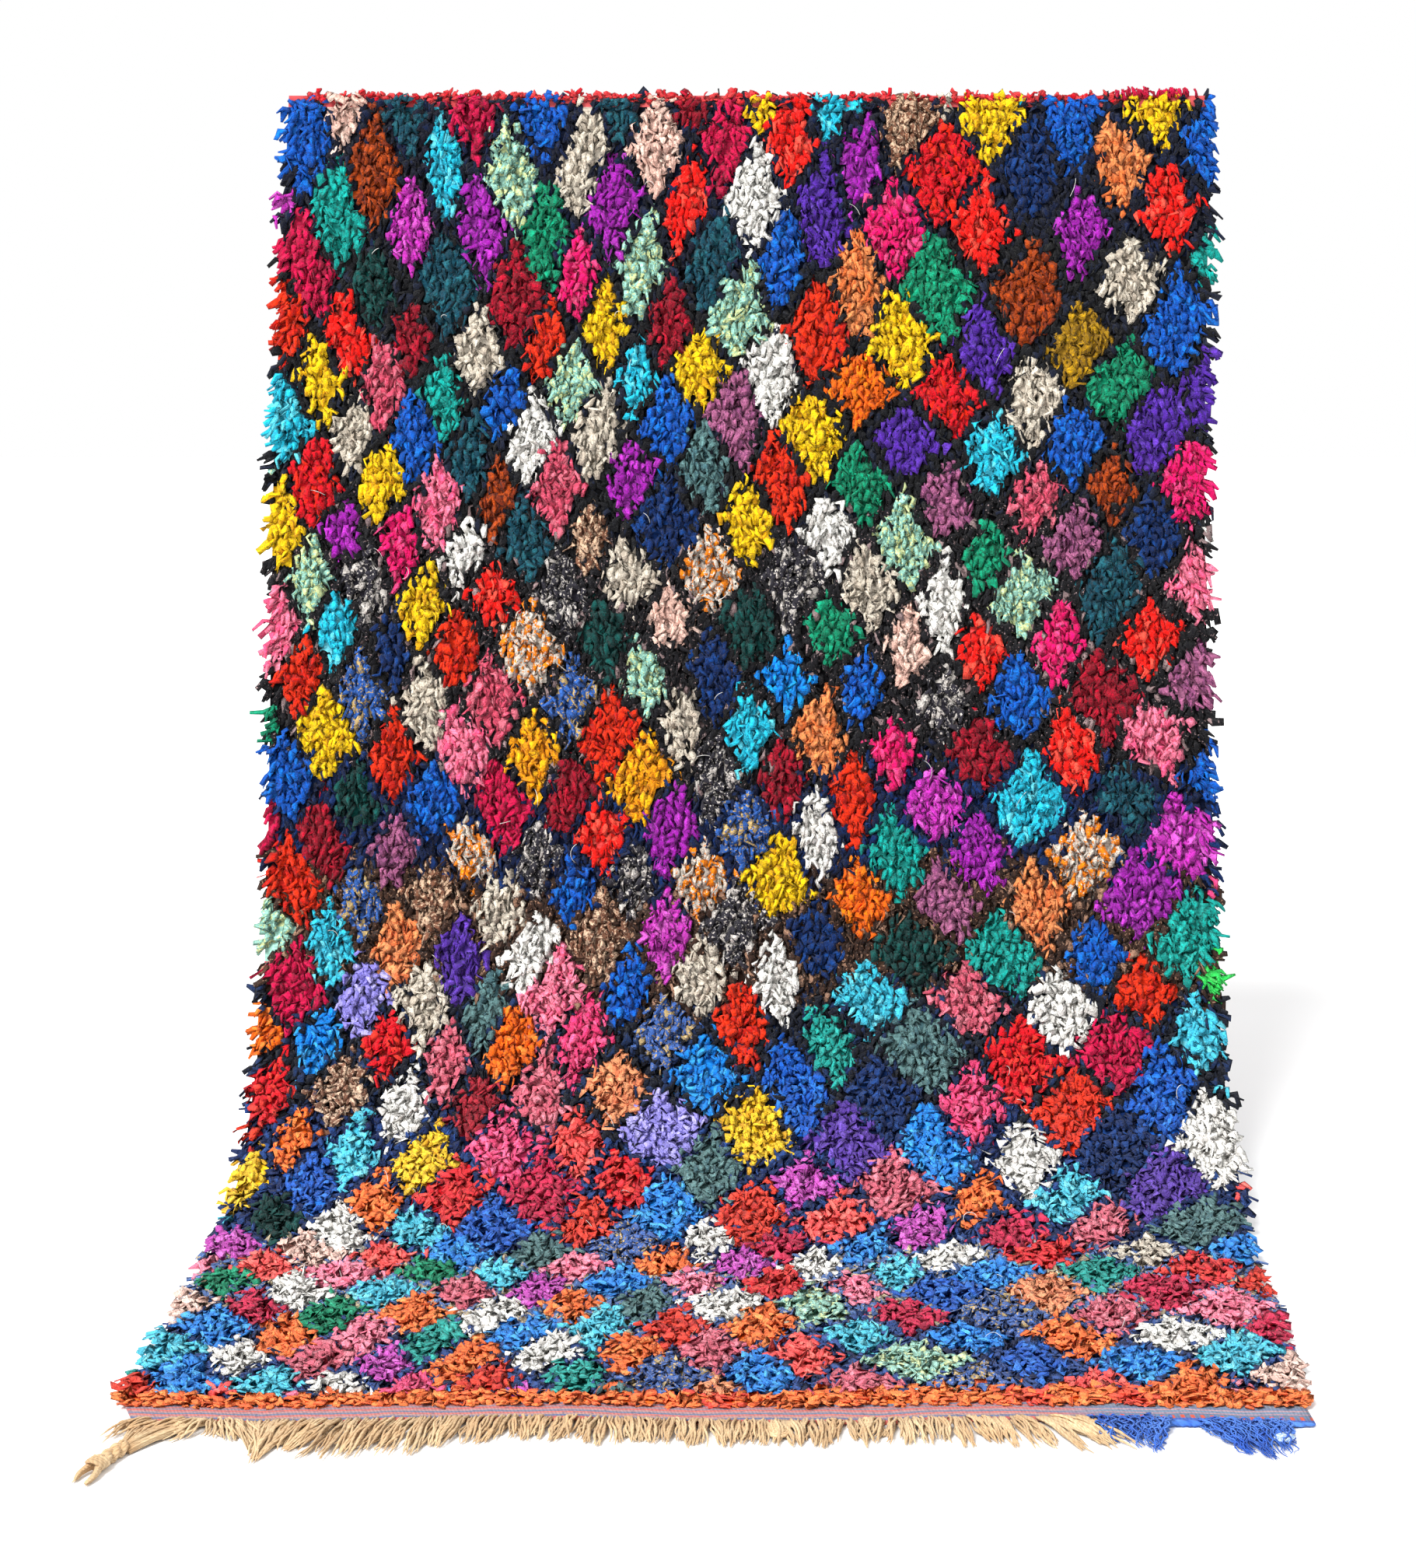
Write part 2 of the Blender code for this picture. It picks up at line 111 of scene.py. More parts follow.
RAGS = {
    "royal blue": Rag((22, 84, 178), (40, 112, 204), 0.25, 0.10, (9, 7, 6, 5, 3)),
    "azure": Rag((26, 128, 218), (60, 164, 232), 0.25, 0.05, (0, 2, 5, 10, 10)),
    "turquoise": Rag((72, 188, 214), (110, 208, 224), 0.20, 0.05, (8, 5, 4, 5, 8)),
    "cream": Rag((210, 200, 184), (190, 178, 162), 0.25, 0.10, (10, 6, 3, 3, 1)),
    "white": Rag((240, 238, 232), (214, 210, 204), 0.20, 0.05, (2, 3, 5, 13, 15)),
    "coral": Rag((244, 72, 70), (250, 106, 96), 0.25, 0.05, (6, 4, 3, 5, 10)),
    "orange red": Rag((226, 52, 26), (190, 36, 28), 0.25, 0.08, (6, 4, 5, 6, 6)),
    "bright red": Rag((212, 26, 38), (236, 60, 50), 0.25, 0.05, (3, 5, 4, 7, 4)),
    "maroon": Rag((136, 24, 40), (176, 40, 56), 0.30, 0.15, (5, 2, 3, 1, 1)),
    "crimson": Rag((200, 26, 74), (160, 26, 60), 0.25, 0.08, (2, 4, 4, 4, 3)),
    "orange": Rag((240, 106, 34), (250, 136, 60), 0.25, 0.05, (2, 3, 3, 5, 6)),
    "rust": Rag((164, 66, 22), (120, 44, 20), 0.30, 0.20, (2, 3, 1, 0, 0)),
    "yellow": Rag((242, 198, 34), (226, 168, 26), 0.15, 0.05, (5, 5, 1, 3, 0)),
    "amber": Rag((240, 156, 40), (250, 186, 70), 0.25, 0.10, (0, 1, 2, 0, 1)),
    "olive": Rag((148, 112, 34), (180, 140, 48), 0.30, 0.20, (2, 0, 0, 0, 0)),
    "emerald": Rag((16, 130, 94), (30, 156, 116), 0.25, 0.08, (7, 5, 3, 1, 2)),
    "forest": Rag((12, 52, 50), (18, 76, 72), 0.30, 0.15, (4, 4, 3, 1, 0)),
    "sea teal": Rag((32, 150, 140), (50, 170, 160), 0.25, 0.10, (2, 3, 4, 1, 2)),
    "dark teal": Rag((22, 66, 82), (38, 92, 104), 0.30, 0.20, (3, 3, 1, 1, 0)),
    "mint mixture": Rag((148, 196, 180), (204, 216, 160), 0.20, 0.28, (7, 5, 3, 0, 2)),
    "lavender": Rag((146, 138, 222), (176, 170, 236), 0.25, 0.05, (1, 0, 0, 2, 0)),
    "violet": Rag((84, 54, 150), (104, 72, 176), 0.25, 0.10, (4, 1, 1, 1, 0)),
    "purple": Rag((150, 52, 158), (176, 70, 182), 0.25, 0.08, (6, 5, 2, 0, 0)),
    "magenta": Rag((188, 70, 174), (206, 100, 192), 0.25, 0.05, (2, 1, 4, 2, 3)),
    "hot pink": Rag((226, 66, 116), (236, 96, 140), 0.25, 0.05, (4, 4, 4, 3, 3)),
    "pink": Rag((244, 138, 162), (238, 108, 140), 0.30, 0.15, (0, 5, 2, 2, 4)),
    "mauve": Rag((164, 100, 134), (130, 74, 110), 0.30, 0.25, (3, 6, 4, 1, 0)),
    "dusty rose": Rag((204, 92, 112), (222, 124, 140), 0.30, 0.15, (2, 2, 1, 4, 4)),
    "peach": Rag((232, 150, 104), (222, 124, 84), 0.30, 0.15, (1, 1, 4, 2, 2)),
    "shell": Rag((224, 184, 170), (236, 206, 192), 0.30, 0.20, (3, 3, 1, 1, 2)),
    "grey green": Rag((92, 126, 126), (66, 98, 104), 0.30, 0.25, (1, 2, 2, 3, 2)),
    "denim": Rag((66, 100, 168), (180, 156, 110), 0.15, 0.26, (0, 2, 3, 3, 6)),
    "brown mixture": Rag((122, 84, 66), (206, 176, 150), 0.40, 0.34, (1, 3, 9, 1, 0)),
    "dark mixture": Rag((44, 42, 50), (190, 184, 178), 0.30, 0.28, (0, 9, 7, 0, 0)),
    "red print": Rag((214, 204, 190), (196, 34, 44), 0.28, 0.24, (0, 3, 4, 0, 0)),
    "amber mixture": Rag((206, 196, 184), (236, 132, 44), 0.35, 0.26, (0, 2, 4, 0, 0)),
    "leaf green": Rag((62, 200, 92), (98, 220, 116), 0.20, 0.10),
    "navy": Rag((16, 40, 88), (26, 60, 120), 0.30, 0.10, (2, 4, 3, 1, 0)),
}

# The dark rags between the lozenges, by the length along the cloth at which each begins
GROUND_RAGS = {
    0.00: Rag((9, 14, 32), (14, 26, 56), 0.30, 0.05),
    0.24: Rag((9, 10, 15), (20, 26, 44), 0.25, 0.05),
    0.66: Rag((12, 11, 16), (140, 120, 120), 0.06, 0.10),
    1.06: Rag((10, 24, 58), (22, 46, 96), 0.30, 0.08),
    1.22: Rag((52, 33, 24), (150, 116, 96), 0.14, 0.18),
    1.40: Rag((9, 14, 28), (22, 42, 80), 0.30, 0.08),
    1.62: Rag((14, 34, 80), (30, 64, 126), 0.30, 0.12),
    1.92: Rag((74, 104, 160), (176, 160, 130), 0.20, 0.22),
    2.16: Rag((46, 74, 134), (24, 34, 70), 0.35, 0.15),
}

# The orange band and its red patches, each patch from and to in metres from the middle
BAND_RAGS = (Rag((255, 126, 48), (244, 98, 34), 0.25, 0.06), Rag((248, 82, 46), (234, 58, 38), 0.30, 0.06))
RED_PATCHES = ((-0.074, -0.030), (0.318, 0.350), (0.452, 0.490))

# The rose tufts on the top edge and the crimson ones, with where those stand
TUFT_RAGS = (Rag((206, 82, 84), (190, 52, 58), 0.30, 0.10), Rag((168, 36, 58), (196, 60, 84), 0.30, 0.10))
CRIMSON_REACH = (0.575, 0.702)

PALE_RAG = Rag((196, 216, 232), (110, 156, 224), 0.0, 0.3)

# Lozenges that strike the eye: share of the width, length along the cloth, and the rag
LANDMARKS = (
    (0.01, 0.02, "royal blue"),
    (0.0, 0.10, "royal blue"),
    (0.0, 0.30, "orange red"),
    (0.0, 0.46, "turquoise"),
    (0.985, 0.03, "royal blue"),
    (1.0, 0.10, "royal blue"),
    (1.0, 0.38, "violet"),
    (1.0, 0.54, "turquoise"),
    (1.0, 0.70, "white"),
    (1.0, 1.42, "leaf green"),
    (0.97, 1.50, "turquoise"),
    (1.0, 1.56, "turquoise"),
    (1.0, 1.74, "coral"),
    (1.0, 1.94, "azure"),
    (1.0, 2.12, "crimson"),
    (0.02, 2.36, "azure"),
)


def linear(colour: Colour | list) -> Array:
    """Turns dyers' colours, from 0 to 255, into the linear light that they send back, from 0 to 1."""
    shares = np.asarray(colour, dtype=float) / 255.0
    return np.where(shares <= 0.04045, shares / 12.92, ((shares + 0.055) / 1.055) ** 2.4)


class RagCut(NamedTuple):
    """What locks are cut from: each one's colour in linear light, its second colour and share of flecks."""

    rag: Array
    partner: Array
    fleck: Array

    @classmethod
    def draw(cls, rags: tuple[Rag, ...], kind: Array, chance: Chance) -> "RagCut":
        """Cuts each lock from a rag, some of them from its second colour.

        Args:
            rags: The rags.
            kind: The number of each lock's rag.
            chance: Where the small chances come from.

        Returns:
            What the locks are cut from.
        """
        colours = linear([(rag.colour, rag.partner) for rag in rags])
        mix, fleck = np.array([(rag.mix, rag.fleck) for rag in rags]).T
        swapped = (chance.uniform(size=len(kind)) < mix[kind]).astype(int)
        return cls(colours[kind, swapped], colours[kind, 1 - swapped], fleck[kind])


class Selvage(NamedTuple):
    """Where both long sides lie at a length along the cloth."""

    along: float
    left: float
    right: float


@dataclass(frozen=True)
class Drape:
    """How the cloth hangs, bends forward and lies on the floor."""

    length: float = 2.470
    lean: float = math.radians(9.0)
    bend_start: float = 1.10
    bend_end: float = 2.10
    edge_wave: float = 0.006
    edge_waves_across: float = 2.3
    step: float = 0.001
    selvages: tuple[Selvage, ...] = (
        Selvage(0.00, -0.720, 0.722),
        Selvage(0.58, -0.742, 0.710),
        Selvage(0.97, -0.746, 0.714),
        Selvage(1.37, -0.750, 0.722),
        Selvage(1.72, -0.757, 0.720),
        Selvage(1.86, -0.768, 0.706),
        Selvage(2.08, -0.778, 0.698),
        Selvage(2.28, -0.788, 0.688),
        Selvage(2.40, -0.796, 0.678),
        Selvage(2.47, -0.770, 0.680),
    )

    def angle(self, along: Array) -> Array:
        """Gives the cloth's angle from straight down toward straight forward, in radians."""
        part_way = np.clip((along - self.bend_start) / (self.bend_end - self.bend_start), 0.0, 1.0)
        return self.lean + (math.pi / 2 - self.lean) * part_way**2 * (3 - 2 * part_way)

    def profile(self) -> tuple[Array, Array, Array]:
        """Walks down the cloth.

        Returns:
            Lengths along the cloth, and how far it has come forward and dropped at each.
        """
        along = np.arange(0.0, self.length + self.edge_wave + 2 * self.step, self.step)
        angle = self.angle(along[:-1])
        forward = np.concatenate(([0.0], np.cumsum(np.sin(angle) * self.step)))
        drop = np.concatenate(([0.0], np.cumsum(np.cos(angle) * self.step)))
        return along, forward, drop

    @property
    def floor(self) -> float:
        """Height of the floor under the laid end."""
        return -float(self.profile()[2][-1])

    def sides(self, along: Array) -> tuple[Array, Array]:
        """Gives the left and the right side's distance from the middle, at lengths along the cloth."""
        lengths, left, right = np.array(self.selvages).T
        return np.interp(along, lengths, left), np.interp(along, lengths, right)

    def back(self, share: Array, along: Array) -> Array:
        """Finds points on the back of the cloth.

        Args:
            share: Shares of the width, from 0 at the left to 1.
            along: Lengths along the cloth.

        Returns:
            The points, one a row.
        """
        left, right = self.sides(along)
        laid = np.clip((along - self.bend_end) / (self.length - self.bend_end), 0.0, None)
        reach = along + self.edge_wave * np.sin(share * self.edge_waves_across * math.tau) * laid
        lengths, forward, drop = self.profile()
        y, z = -np.interp(reach, lengths, forward), -np.interp(reach, lengths, drop)
        return np.stack([left + (right - left) * share, y, z], axis=-1)

    def directions(self, along: Array) -> tuple[Array, Array]:
        """Gives the way down the cloth and the way out of its pile side.

        Args:
            along: Lengths along the cloth.

        Returns:
            Unit vectors down the cloth, and out of it.
        """
        angle = self.angle(along)
        none, sine, cosine = np.zeros_like(angle), np.sin(angle), np.cos(angle)
        return np.stack([none, -sine, -cosine], axis=-1), np.stack([none, -cosine, sine], axis=-1)

    def front_y(self, x: Array | float) -> Array:
        """Gives the front edge's y at distances from the middle."""
        share = (np.asarray(x) - self.selvages[-1].left) / (self.selvages[-1].right - self.selvages[-1].left)
        return self.back(share, np.full_like(share, self.length))[..., 1]


class Knotting(NamedTuple):
    """What every knot of the field is.

    Attributes:
        cut: What it is cut from.
        mound: 1 at a lozenge's middle and 0 at its side.
        ground: True where the knot belongs to the dark ground.
    """

    cut: RagCut
    mound: Array
    ground: Array


@dataclass
class Lozenges:
    """The field's design: ranks of lozenges, each knotted from one bundle of rags."""

    across_along: tuple[float, ...] = (0.00, 0.60, 1.40, 1.75, 1.95)
    across: tuple[float, ...] = (12.3, 12.7, 12.2, 11.6, 12.6)
    crowding: float = 0.055
    middle_column: float = 12.5
    rank_starts: tuple[float, ...] = (0.00, 0.36, 1.50, 1.86, 2.03)
    rank_depths: tuple[float, ...] = (0.094, 0.079, 0.090, 0.062, 0.083)
    ranked_length: float = 2.6
    slim_along: tuple[float, ...] = (0.0, 0.5, 0.9, 1.2, 1.8)
    slimness: tuple[float, ...] = (1.24, 1.18, 1.24, 1.12, 1.05)
    shortness: tuple[float, ...] = (0.91, 0.95, 1.02, 0.97, 0.98)
    orange_start: float = 2.402
    orange_rise: float = 0.018
    orange_mound: float = 0.6
    band_sides: tuple[float, float] = (-0.796, 0.678)
    reach: float = 0.86
    reach_spread: float = 0.13
    edge_jitter: float = 0.15
    ground_wander: float = 0.03
    seed: int = 41
    knot_seed: int = 7
    choice: dict[tuple[int, int], int] = field(default_factory=dict)
    spread: dict[tuple[int, int], float] = field(default_factory=dict)

    def __post_init__(self) -> None:
        """Draws a bundle for each lozenge, unlike those of the lozenges beside it."""
        chance = np.random.default_rng(self.seed)
        heaps = np.array([rag.shares for rag in RAGS.values()], dtype=float).T
        lengths = np.arange(0.0, self.ranked_length, 0.005)
        ranks = self.rank(lengths)
        for rank in range(-2, int(self.rank(np.array([self.ranked_length]))[0]) + 3):
            along = float(np.interp(max(0, rank), ranks, lengths))
            heap = next(heap for heap, zone in zip(heaps, Zone) if along < zone.value)
            for column in range(-3, int(2 * self.middle_column) + 5):
                if (rank + column) % 2:
                    continue
                key = first, second = (column + rank) // 2, (column - rank) // 2
                weights = heap.copy()
                for step in ((-1, 0), (0, 1), (-1, 1), (-1, -1)):
                    beside = self.choice.get((first + step[0], second + step[1]))
                    if beside is not None:
                        weights[beside] = 0.0
                weights /= weights.sum()
                self.choice[key] = int(chance.choice(len(RAGS), p=weights))
                self.spread[key] = float(chance.uniform(-self.reach_spread, self.reach_spread))
        for share, along, name in LANDMARKS:
            first, second, _ = self.cell(np.array([share]), np.array([along]))
            self.choice[int(first[0]), int(second[0])] = list(RAGS).index(name)

    def rank(self, along: Array) -> Array:
        """Counts ranks from the top edge.

        Args:
            along: Lengths along the cloth.

        Returns:
            The rank at each, with its fraction.
        """
        total = np.zeros_like(along)
        for start, end, depth in zip(self.rank_starts, (*self.rank_starts[1:], math.inf), self.rank_depths):
            total += np.clip(np.minimum(along, end) - start, 0.0, None) / depth
        return total

    def cell(self, share: Array, along: Array) -> tuple[Array, Array, Array]:
        """Finds the lozenge that each knot lies in.

        Args:
            share: Shares of the width.
            along: Lengths along the cloth.

        Returns:
            The lozenge's two numbers, and how near the knot is to its side, 1 on it.
        """
        crowded = share + self.crowding * np.sin(math.pi * share)
        column = self.middle_column + 2 * np.interp(along, self.across_along, self.across) * (crowded - 0.5)
        rank = self.rank(along)
        column = (
            column
            + 0.25 * np.sin(0.55 * rank + 0.33 * column + 0.7)
            + 0.12 * np.sin(1.15 * rank - 0.75 * column)
            + 0.07 * np.sin(2.6 * rank + 1.7 * column)
        )
        rank = (
            rank
            + 0.30 * np.sin(0.45 * column + 2.0)
            + 0.12 * np.sin(1.3 * column + 0.5 * rank)
            + 0.06 * np.sin(2.9 * column - 1.9 * rank)
        )
        rising, falling = (column + rank) / 2, (column - rank) / 2
        first, second = np.round(rising).astype(int), np.round(falling).astype(int)
        rising, falling = rising - first, falling - second
        slim = np.interp(along, self.slim_along, self.slimness)
        short = np.interp(along, self.slim_along, self.shortness)
        return first, second, slim * np.abs(rising + falling) + short * np.abs(rising - falling)

    def orange(self, share: Array, along: Array) -> Array:
        """Tells which places lie in the orange band."""
        return along > self.orange_start - self.orange_rise * share

    def knots(self, share: Array, along: Array) -> Knotting:
        """Tells what each knot is cut from.

        Args:
            share: Shares of the width.
            along: Lengths along the cloth.

        Returns:
            The knots' colours and places in the design.
        """
        chance = np.random.default_rng(self.knot_seed)
        first, second, nearness = self.cell(share, along)
        keys = list(zip(first.tolist(), second.tolist()))
        kind = np.array([self.choice.get(key, 0) for key in keys])
        reach = self.reach + np.array([self.spread.get(key, 0.0) for key in keys])
        jitter = chance.uniform(-self.edge_jitter, self.edge_jitter, len(keys))
        orange = self.orange(share, along)
        ground = (nearness + jitter > reach) & ~orange

        starts = list(GROUND_RAGS)
        wander = self.ground_wander * np.sin(9.0 * share + 1.0)
        wander = wander + chance.uniform(-self.ground_wander, self.ground_wander, len(keys))
        dark = np.clip(np.searchsorted(starts, along + wander, side="right") - 1, 0, len(starts) - 1)
        left, right = self.band_sides
        red = np.zeros(len(keys), dtype=int)
        for start, end in RED_PATCHES:
            red[(share > (start - left) / (right - left)) & (share < (end - left) / (right - left))] = 1
        kind[ground] = len(RAGS) + dark[ground]
        kind[orange] = len(RAGS) + len(GROUND_RAGS) + red[orange]

        mound = np.clip(1.0 - nearness, 0.0, 1.0)
        mound[orange] = self.orange_mound
        rags = (*RAGS.values(), *GROUND_RAGS.values(), *BAND_RAGS)
        return Knotting(RagCut.draw(rags, kind, chance), mound, ground)


def place(name: str, data: bpy.types.ID) -> Piece:
    """Puts a mesh, light or camera into the scene.

    Args:
        name: Its name.
        data: What it is.

    Returns:
        The object.
    """
    made = bpy.data.objects.new(name, data)
    bpy.context.scene.collection.objects.link(made)
    return made


def paint(mesh: Mesh, name: str, values: Array, domain: str = "POINT") -> None:
    """Writes colours or numbers to a mesh.

    Args:
        mesh: The mesh.
        name: What the finish calls them.
        values: One row or number for each point or corner.
        domain: What holds them, as Blender names it.
    """
    kind, slot = ("FLOAT_COLOR", "color") if values.ndim == 2 else ("FLOAT", "value")
    if values.ndim == 2:
        values = np.column_stack([values, np.ones(len(values))])
    layer = mesh.attributes.new(name, kind, domain)
    layer.data.foreach_set(slot, values.ravel().astype(np.float32))


def lay_map(mesh: Mesh, name: str, values: Array) -> None:
    """Gives a mesh a map, with one row for each corner."""
    mesh.uv_layers.new(name=name).data.foreach_set("uv", values.ravel().astype(np.float32))


def tube_pattern(rings: int, sides: int) -> tuple[Array, Array, Array, Array]:
    """Works out one tube's faces.

    Args:
        rings: Rings of points along it.
        sides: Points of each ring.

    Returns:
        Its corners' points, its faces' first corners, and two maps of its corners: one for the
        pattern on it, and one flat tile for all of its skin.
    """
    corners, starts, lie, tile = [], [], [], []
    for ring in range(rings - 1):
        for side in range(sides):
            starts.append(len(corners))
            for down, turn in ((0, 0), (0, 1), (1, 1), (1, 0)):
                across, length = (side + turn) / sides, (ring + down) / (rings - 1)
                corners.append((ring + down) * sides + (side + turn) % sides)
                lie.append((across, length))
                tile.append((0.04 + 0.92 * (side + turn) / sides, 0.04 + 0.74 * (ring + down) / (rings - 1)))
    for cap, order, middle in ((0, range(sides - 1, -1, -1), 0.27), (rings - 1, range(sides), 0.73)):
        starts.append(len(corners))
        for side in order:
            turn = math.tau * side / sides * (1 if cap else -1)
            corners.append(cap * sides + side)
            lie.append((side / sides, 1.0 if cap else 0.0))
            tile.append((middle + 0.12 * math.cos(turn), 0.89 + 0.07 * math.sin(turn)))
    return np.array(corners), np.array(starts), np.array(lie), np.array(tile)


def tubes(name: str, points: Array, **paints: Array) -> Piece:
    """Builds one mesh of closed tubes.

    Args:
        name: The piece's name.
        points: Tubes by rings by sides by coordinates.
        **paints: What the finish reads, by its name, one row or number a tube.

    Returns:
        The piece, with its maps and with smooth shading.
    """
    count, rings, sides = points.shape[:3]
    corners, starts, lie, tile = tube_pattern(rings, sides)
    number = np.arange(count)
    all_corners = corners + rings * sides * number[:, None]
    all_starts = starts + len(corners) * number[:, None]
    mesh = bpy.data.meshes.new(name)
    mesh.vertices.add(count * rings * sides)
    mesh.loops.add(all_corners.size)
    mesh.polygons.add(all_starts.size)
    mesh.vertices.foreach_set("co", points.ravel().astype(np.float32))
    mesh.loops.foreach_set("vertex_index", all_corners.ravel().astype(np.int32))
    mesh.polygons.foreach_set("loop_start", all_starts.ravel().astype(np.int32))
    mesh.polygons.foreach_set("use_smooth", np.ones(all_starts.size, dtype=bool))
    mesh.update(calc_edges=True)
    per_row = math.ceil(math.sqrt(count))
    tile_place = np.stack([number % per_row, number // per_row], axis=-1)
    lies = np.repeat(lie[None], count, axis=0)
    lies[..., 0] += (number % 7)[:, None]
    lay_map(mesh, "lie", lies)
    lay_map(mesh, "OFBake", (tile[None] + tile_place[:, None]) / per_row)
    mesh.uv_layers["lie"].active_render = True
    mesh.uv_layers.active = mesh.uv_layers["lie"]
    for paint_name, values in paints.items():
        paint(mesh, paint_name, np.repeat(values, rings * sides, axis=0))
    return place(name, mesh)


def around(path: Array, side: Array, half_width: Array, half_height: Array, crumple: Array, lowest: float,
           roll: Array | None = None) -> Array:
    """Sweeps a flattened section along each path.

    Args:
        path: Tubes by rings by coordinates.
        side: A direction across each tube, or one for all, that the section keeps to.
        half_width: Tubes by rings, along that direction.
        half_height: Tubes by rings, across it.
        crumple: Tubes by rings by sides, a factor on each corner's distance.
        lowest: The height that no corner goes below.
        roll: Tubes by rings, how far the section turns about the path, if it does.

    Returns:
        Tubes by rings by sides by coordinates.
    """
    heading = np.gradient(path, axis=1)
    heading /= np.linalg.norm(heading, axis=-1, keepdims=True) + 1e-12
    across = side[:, None, :] - heading * np.sum(side[:, None, :] * heading, axis=-1, keepdims=True)
    across /= np.linalg.norm(across, axis=-1, keepdims=True) + 1e-12
    over = np.cross(heading, across)
    if roll is not None:
        cosine, sine = np.cos(roll)[..., None], np.sin(roll)[..., None]
        across, over = across * cosine + over * sine, over * cosine - across * sine
    turn = math.tau * np.arange(crumple.shape[-1]) / crumple.shape[-1]
    wide = (half_width[..., None] * np.cos(turn) * crumple)[..., None]
    high = (half_height[..., None] * np.sin(turn) * crumple)[..., None]
    points = path[:, :, None, :] + across[:, :, None, :] * wide + over[:, :, None, :] * high
    points[..., 2] = np.maximum(points[..., 2], lowest)
    return points


class Shader:
    """A cloth material under construction, with short calls for its nodes."""

    def __init__(self, name: str, roughness: float, sheen: float) -> None:
        """Starts the material.

        Args:
            name: The finish's name.
            roughness: How matt it is.
            sheen: How much fuzz it shows at a grazing view.
        """
        self.material = bpy.data.materials.new(name)
        self.material.use_nodes = True
        self.tree = self.material.node_tree
        self.surface = self.tree.nodes["Principled BSDF"].inputs
        self.surface["Roughness"].default_value = roughness
        self.surface["Specular IOR Level"].default_value = 0.12
        self.surface["Sheen Weight"].default_value = sheen
        self.surface["Sheen Roughness"].default_value = 0.6
        self.rug = self.node("TexCoord", "Object")

    def fill(self, socket: Socket, value: object) -> None:
        """Links a socket to its source, or sets its value.

        Args:
            socket: The socket.
            value: Its source, or a number, vector or colour.
        """
        if isinstance(value, Socket):
            self.tree.links.new(value, socket)
        else:
            socket.default_value = (*value, 1.0) if socket.type == "RGBA" else value

    def node(self, kind: str, out: int | str = 0, **values: object) -> Socket:
        """Adds a node.

        Args:
            kind: Its type, as Blender names it after ShaderNode.
            out: The output that is wanted.
            **values: Its properties, and its sockets' values or sources, by name with _ for blanks.

        Returns:
            The output's socket.
        """
        made = self.tree.nodes.new(f"ShaderNode{kind}")
        for name, value in values.items():
            if hasattr(made, name):
                setattr(made, name, value)
            else:
                self.fill(made.inputs[name.replace("_", " ")], value)
        return made.outputs[out]

    def attribute(self, name: str, out: str = "Fac") -> Socket:
        """Reads a number, or with Color a colour, that the mesh holds."""
        return self.node("Attribute", out, attribute_name=name)

    def part(self, vector: Socket, axis: str) -> Socket:
        """Takes one coordinate of a vector."""
        return self.node("SeparateXYZ", axis, Vector=vector)

    def calculate(self, operation: str, *values: object) -> Socket:
        """Works out a number.

        Args:
            operation: How, as Blender names it.
            *values: Sockets or numbers.

        Returns:
            The result's socket.
        """
        made = self.tree.nodes.new("ShaderNodeMath")
        made.operation = operation
        for socket, value in zip(made.inputs, values):
            self.fill(socket, value)
        return made.outputs[0]

    def product(self, *values: object) -> Socket:
        """Multiplies sockets and numbers."""
        return reduce(lambda first, second: self.calculate("MULTIPLY", first, second), values)

    def noise(self, scale: float, detail: float = 2.0) -> Socket:
        """Adds a soft random pattern, of so many lumps a metre and so many finer layers."""
        return self.node("TexNoise", "Fac", Vector=self.rug, Scale=scale, Detail=detail)

    def wave(self, where: Socket, axis: str, scale: float, distortion: float, detail: float) -> Socket:
        """Adds bands across one axis of a map, so dense, so wavy and so finely broken."""
        sizes = {"Scale": scale, "Distortion": distortion, "Detail": detail}
        return self.node("TexWave", "Fac", bands_direction=axis, Vector=where, **sizes)

    def between(self, value: Socket, low: float, high: float, to_low: float, to_high: float) -> Socket:
        """Maps a value from one range, low to high, to another."""
        return self.node("MapRange", Value=value, From_Min=low, From_Max=high, To_Min=to_low, To_Max=to_high)

    def mix(self, share: object, first: object, second: object, way: str = "MIX") -> Socket:
        """Mixes two colours.

        Args:
            share: Share of the second colour, a socket or a number.
            first: A colour or its socket.
            second: A colour or its socket.
            way: How they mix, as Blender names it.

        Returns:
            The result's socket.
        """
        made = self.tree.nodes.new("ShaderNodeMix")
        made.data_type, made.blend_type = "RGBA", way
        for number, value in ((0, share), (6, first), (7, second)):
            self.fill(made.inputs[number], value)
        return made.outputs[2]

    def shade(self, colour: object, tone: Socket) -> Socket:
        """Darkens or lightens a colour by a factor."""
        return self.mix(1.0, colour, self.node("CombineColor", Red=tone, Green=tone, Blue=tone), "MULTIPLY")

    def stripes(self, where: Socket, stops: tuple[tuple[float, Colour], ...]) -> Socket:
        """Lays stripes.

        Args:
            where: Where a point lies, from 0 at the first stripe's start to 1 at the last one's end.
            stops: Where each stripe begins, and its colour.

        Returns:
            The stripes' colour.
        """
        made = self.tree.nodes.new("ShaderNodeValToRGB")
        made.color_ramp.interpolation = "CONSTANT"
        stripes = made.color_ramp.elements
        for number, (position, colour) in enumerate(stops):
            stripe = stripes[number] if number < len(stripes) else stripes.new(position)
            stripe.position = position
            stripe.color = (*linear(colour), 1.0)
        self.fill(made.inputs["Fac"], where)
        return made.outputs["Color"]

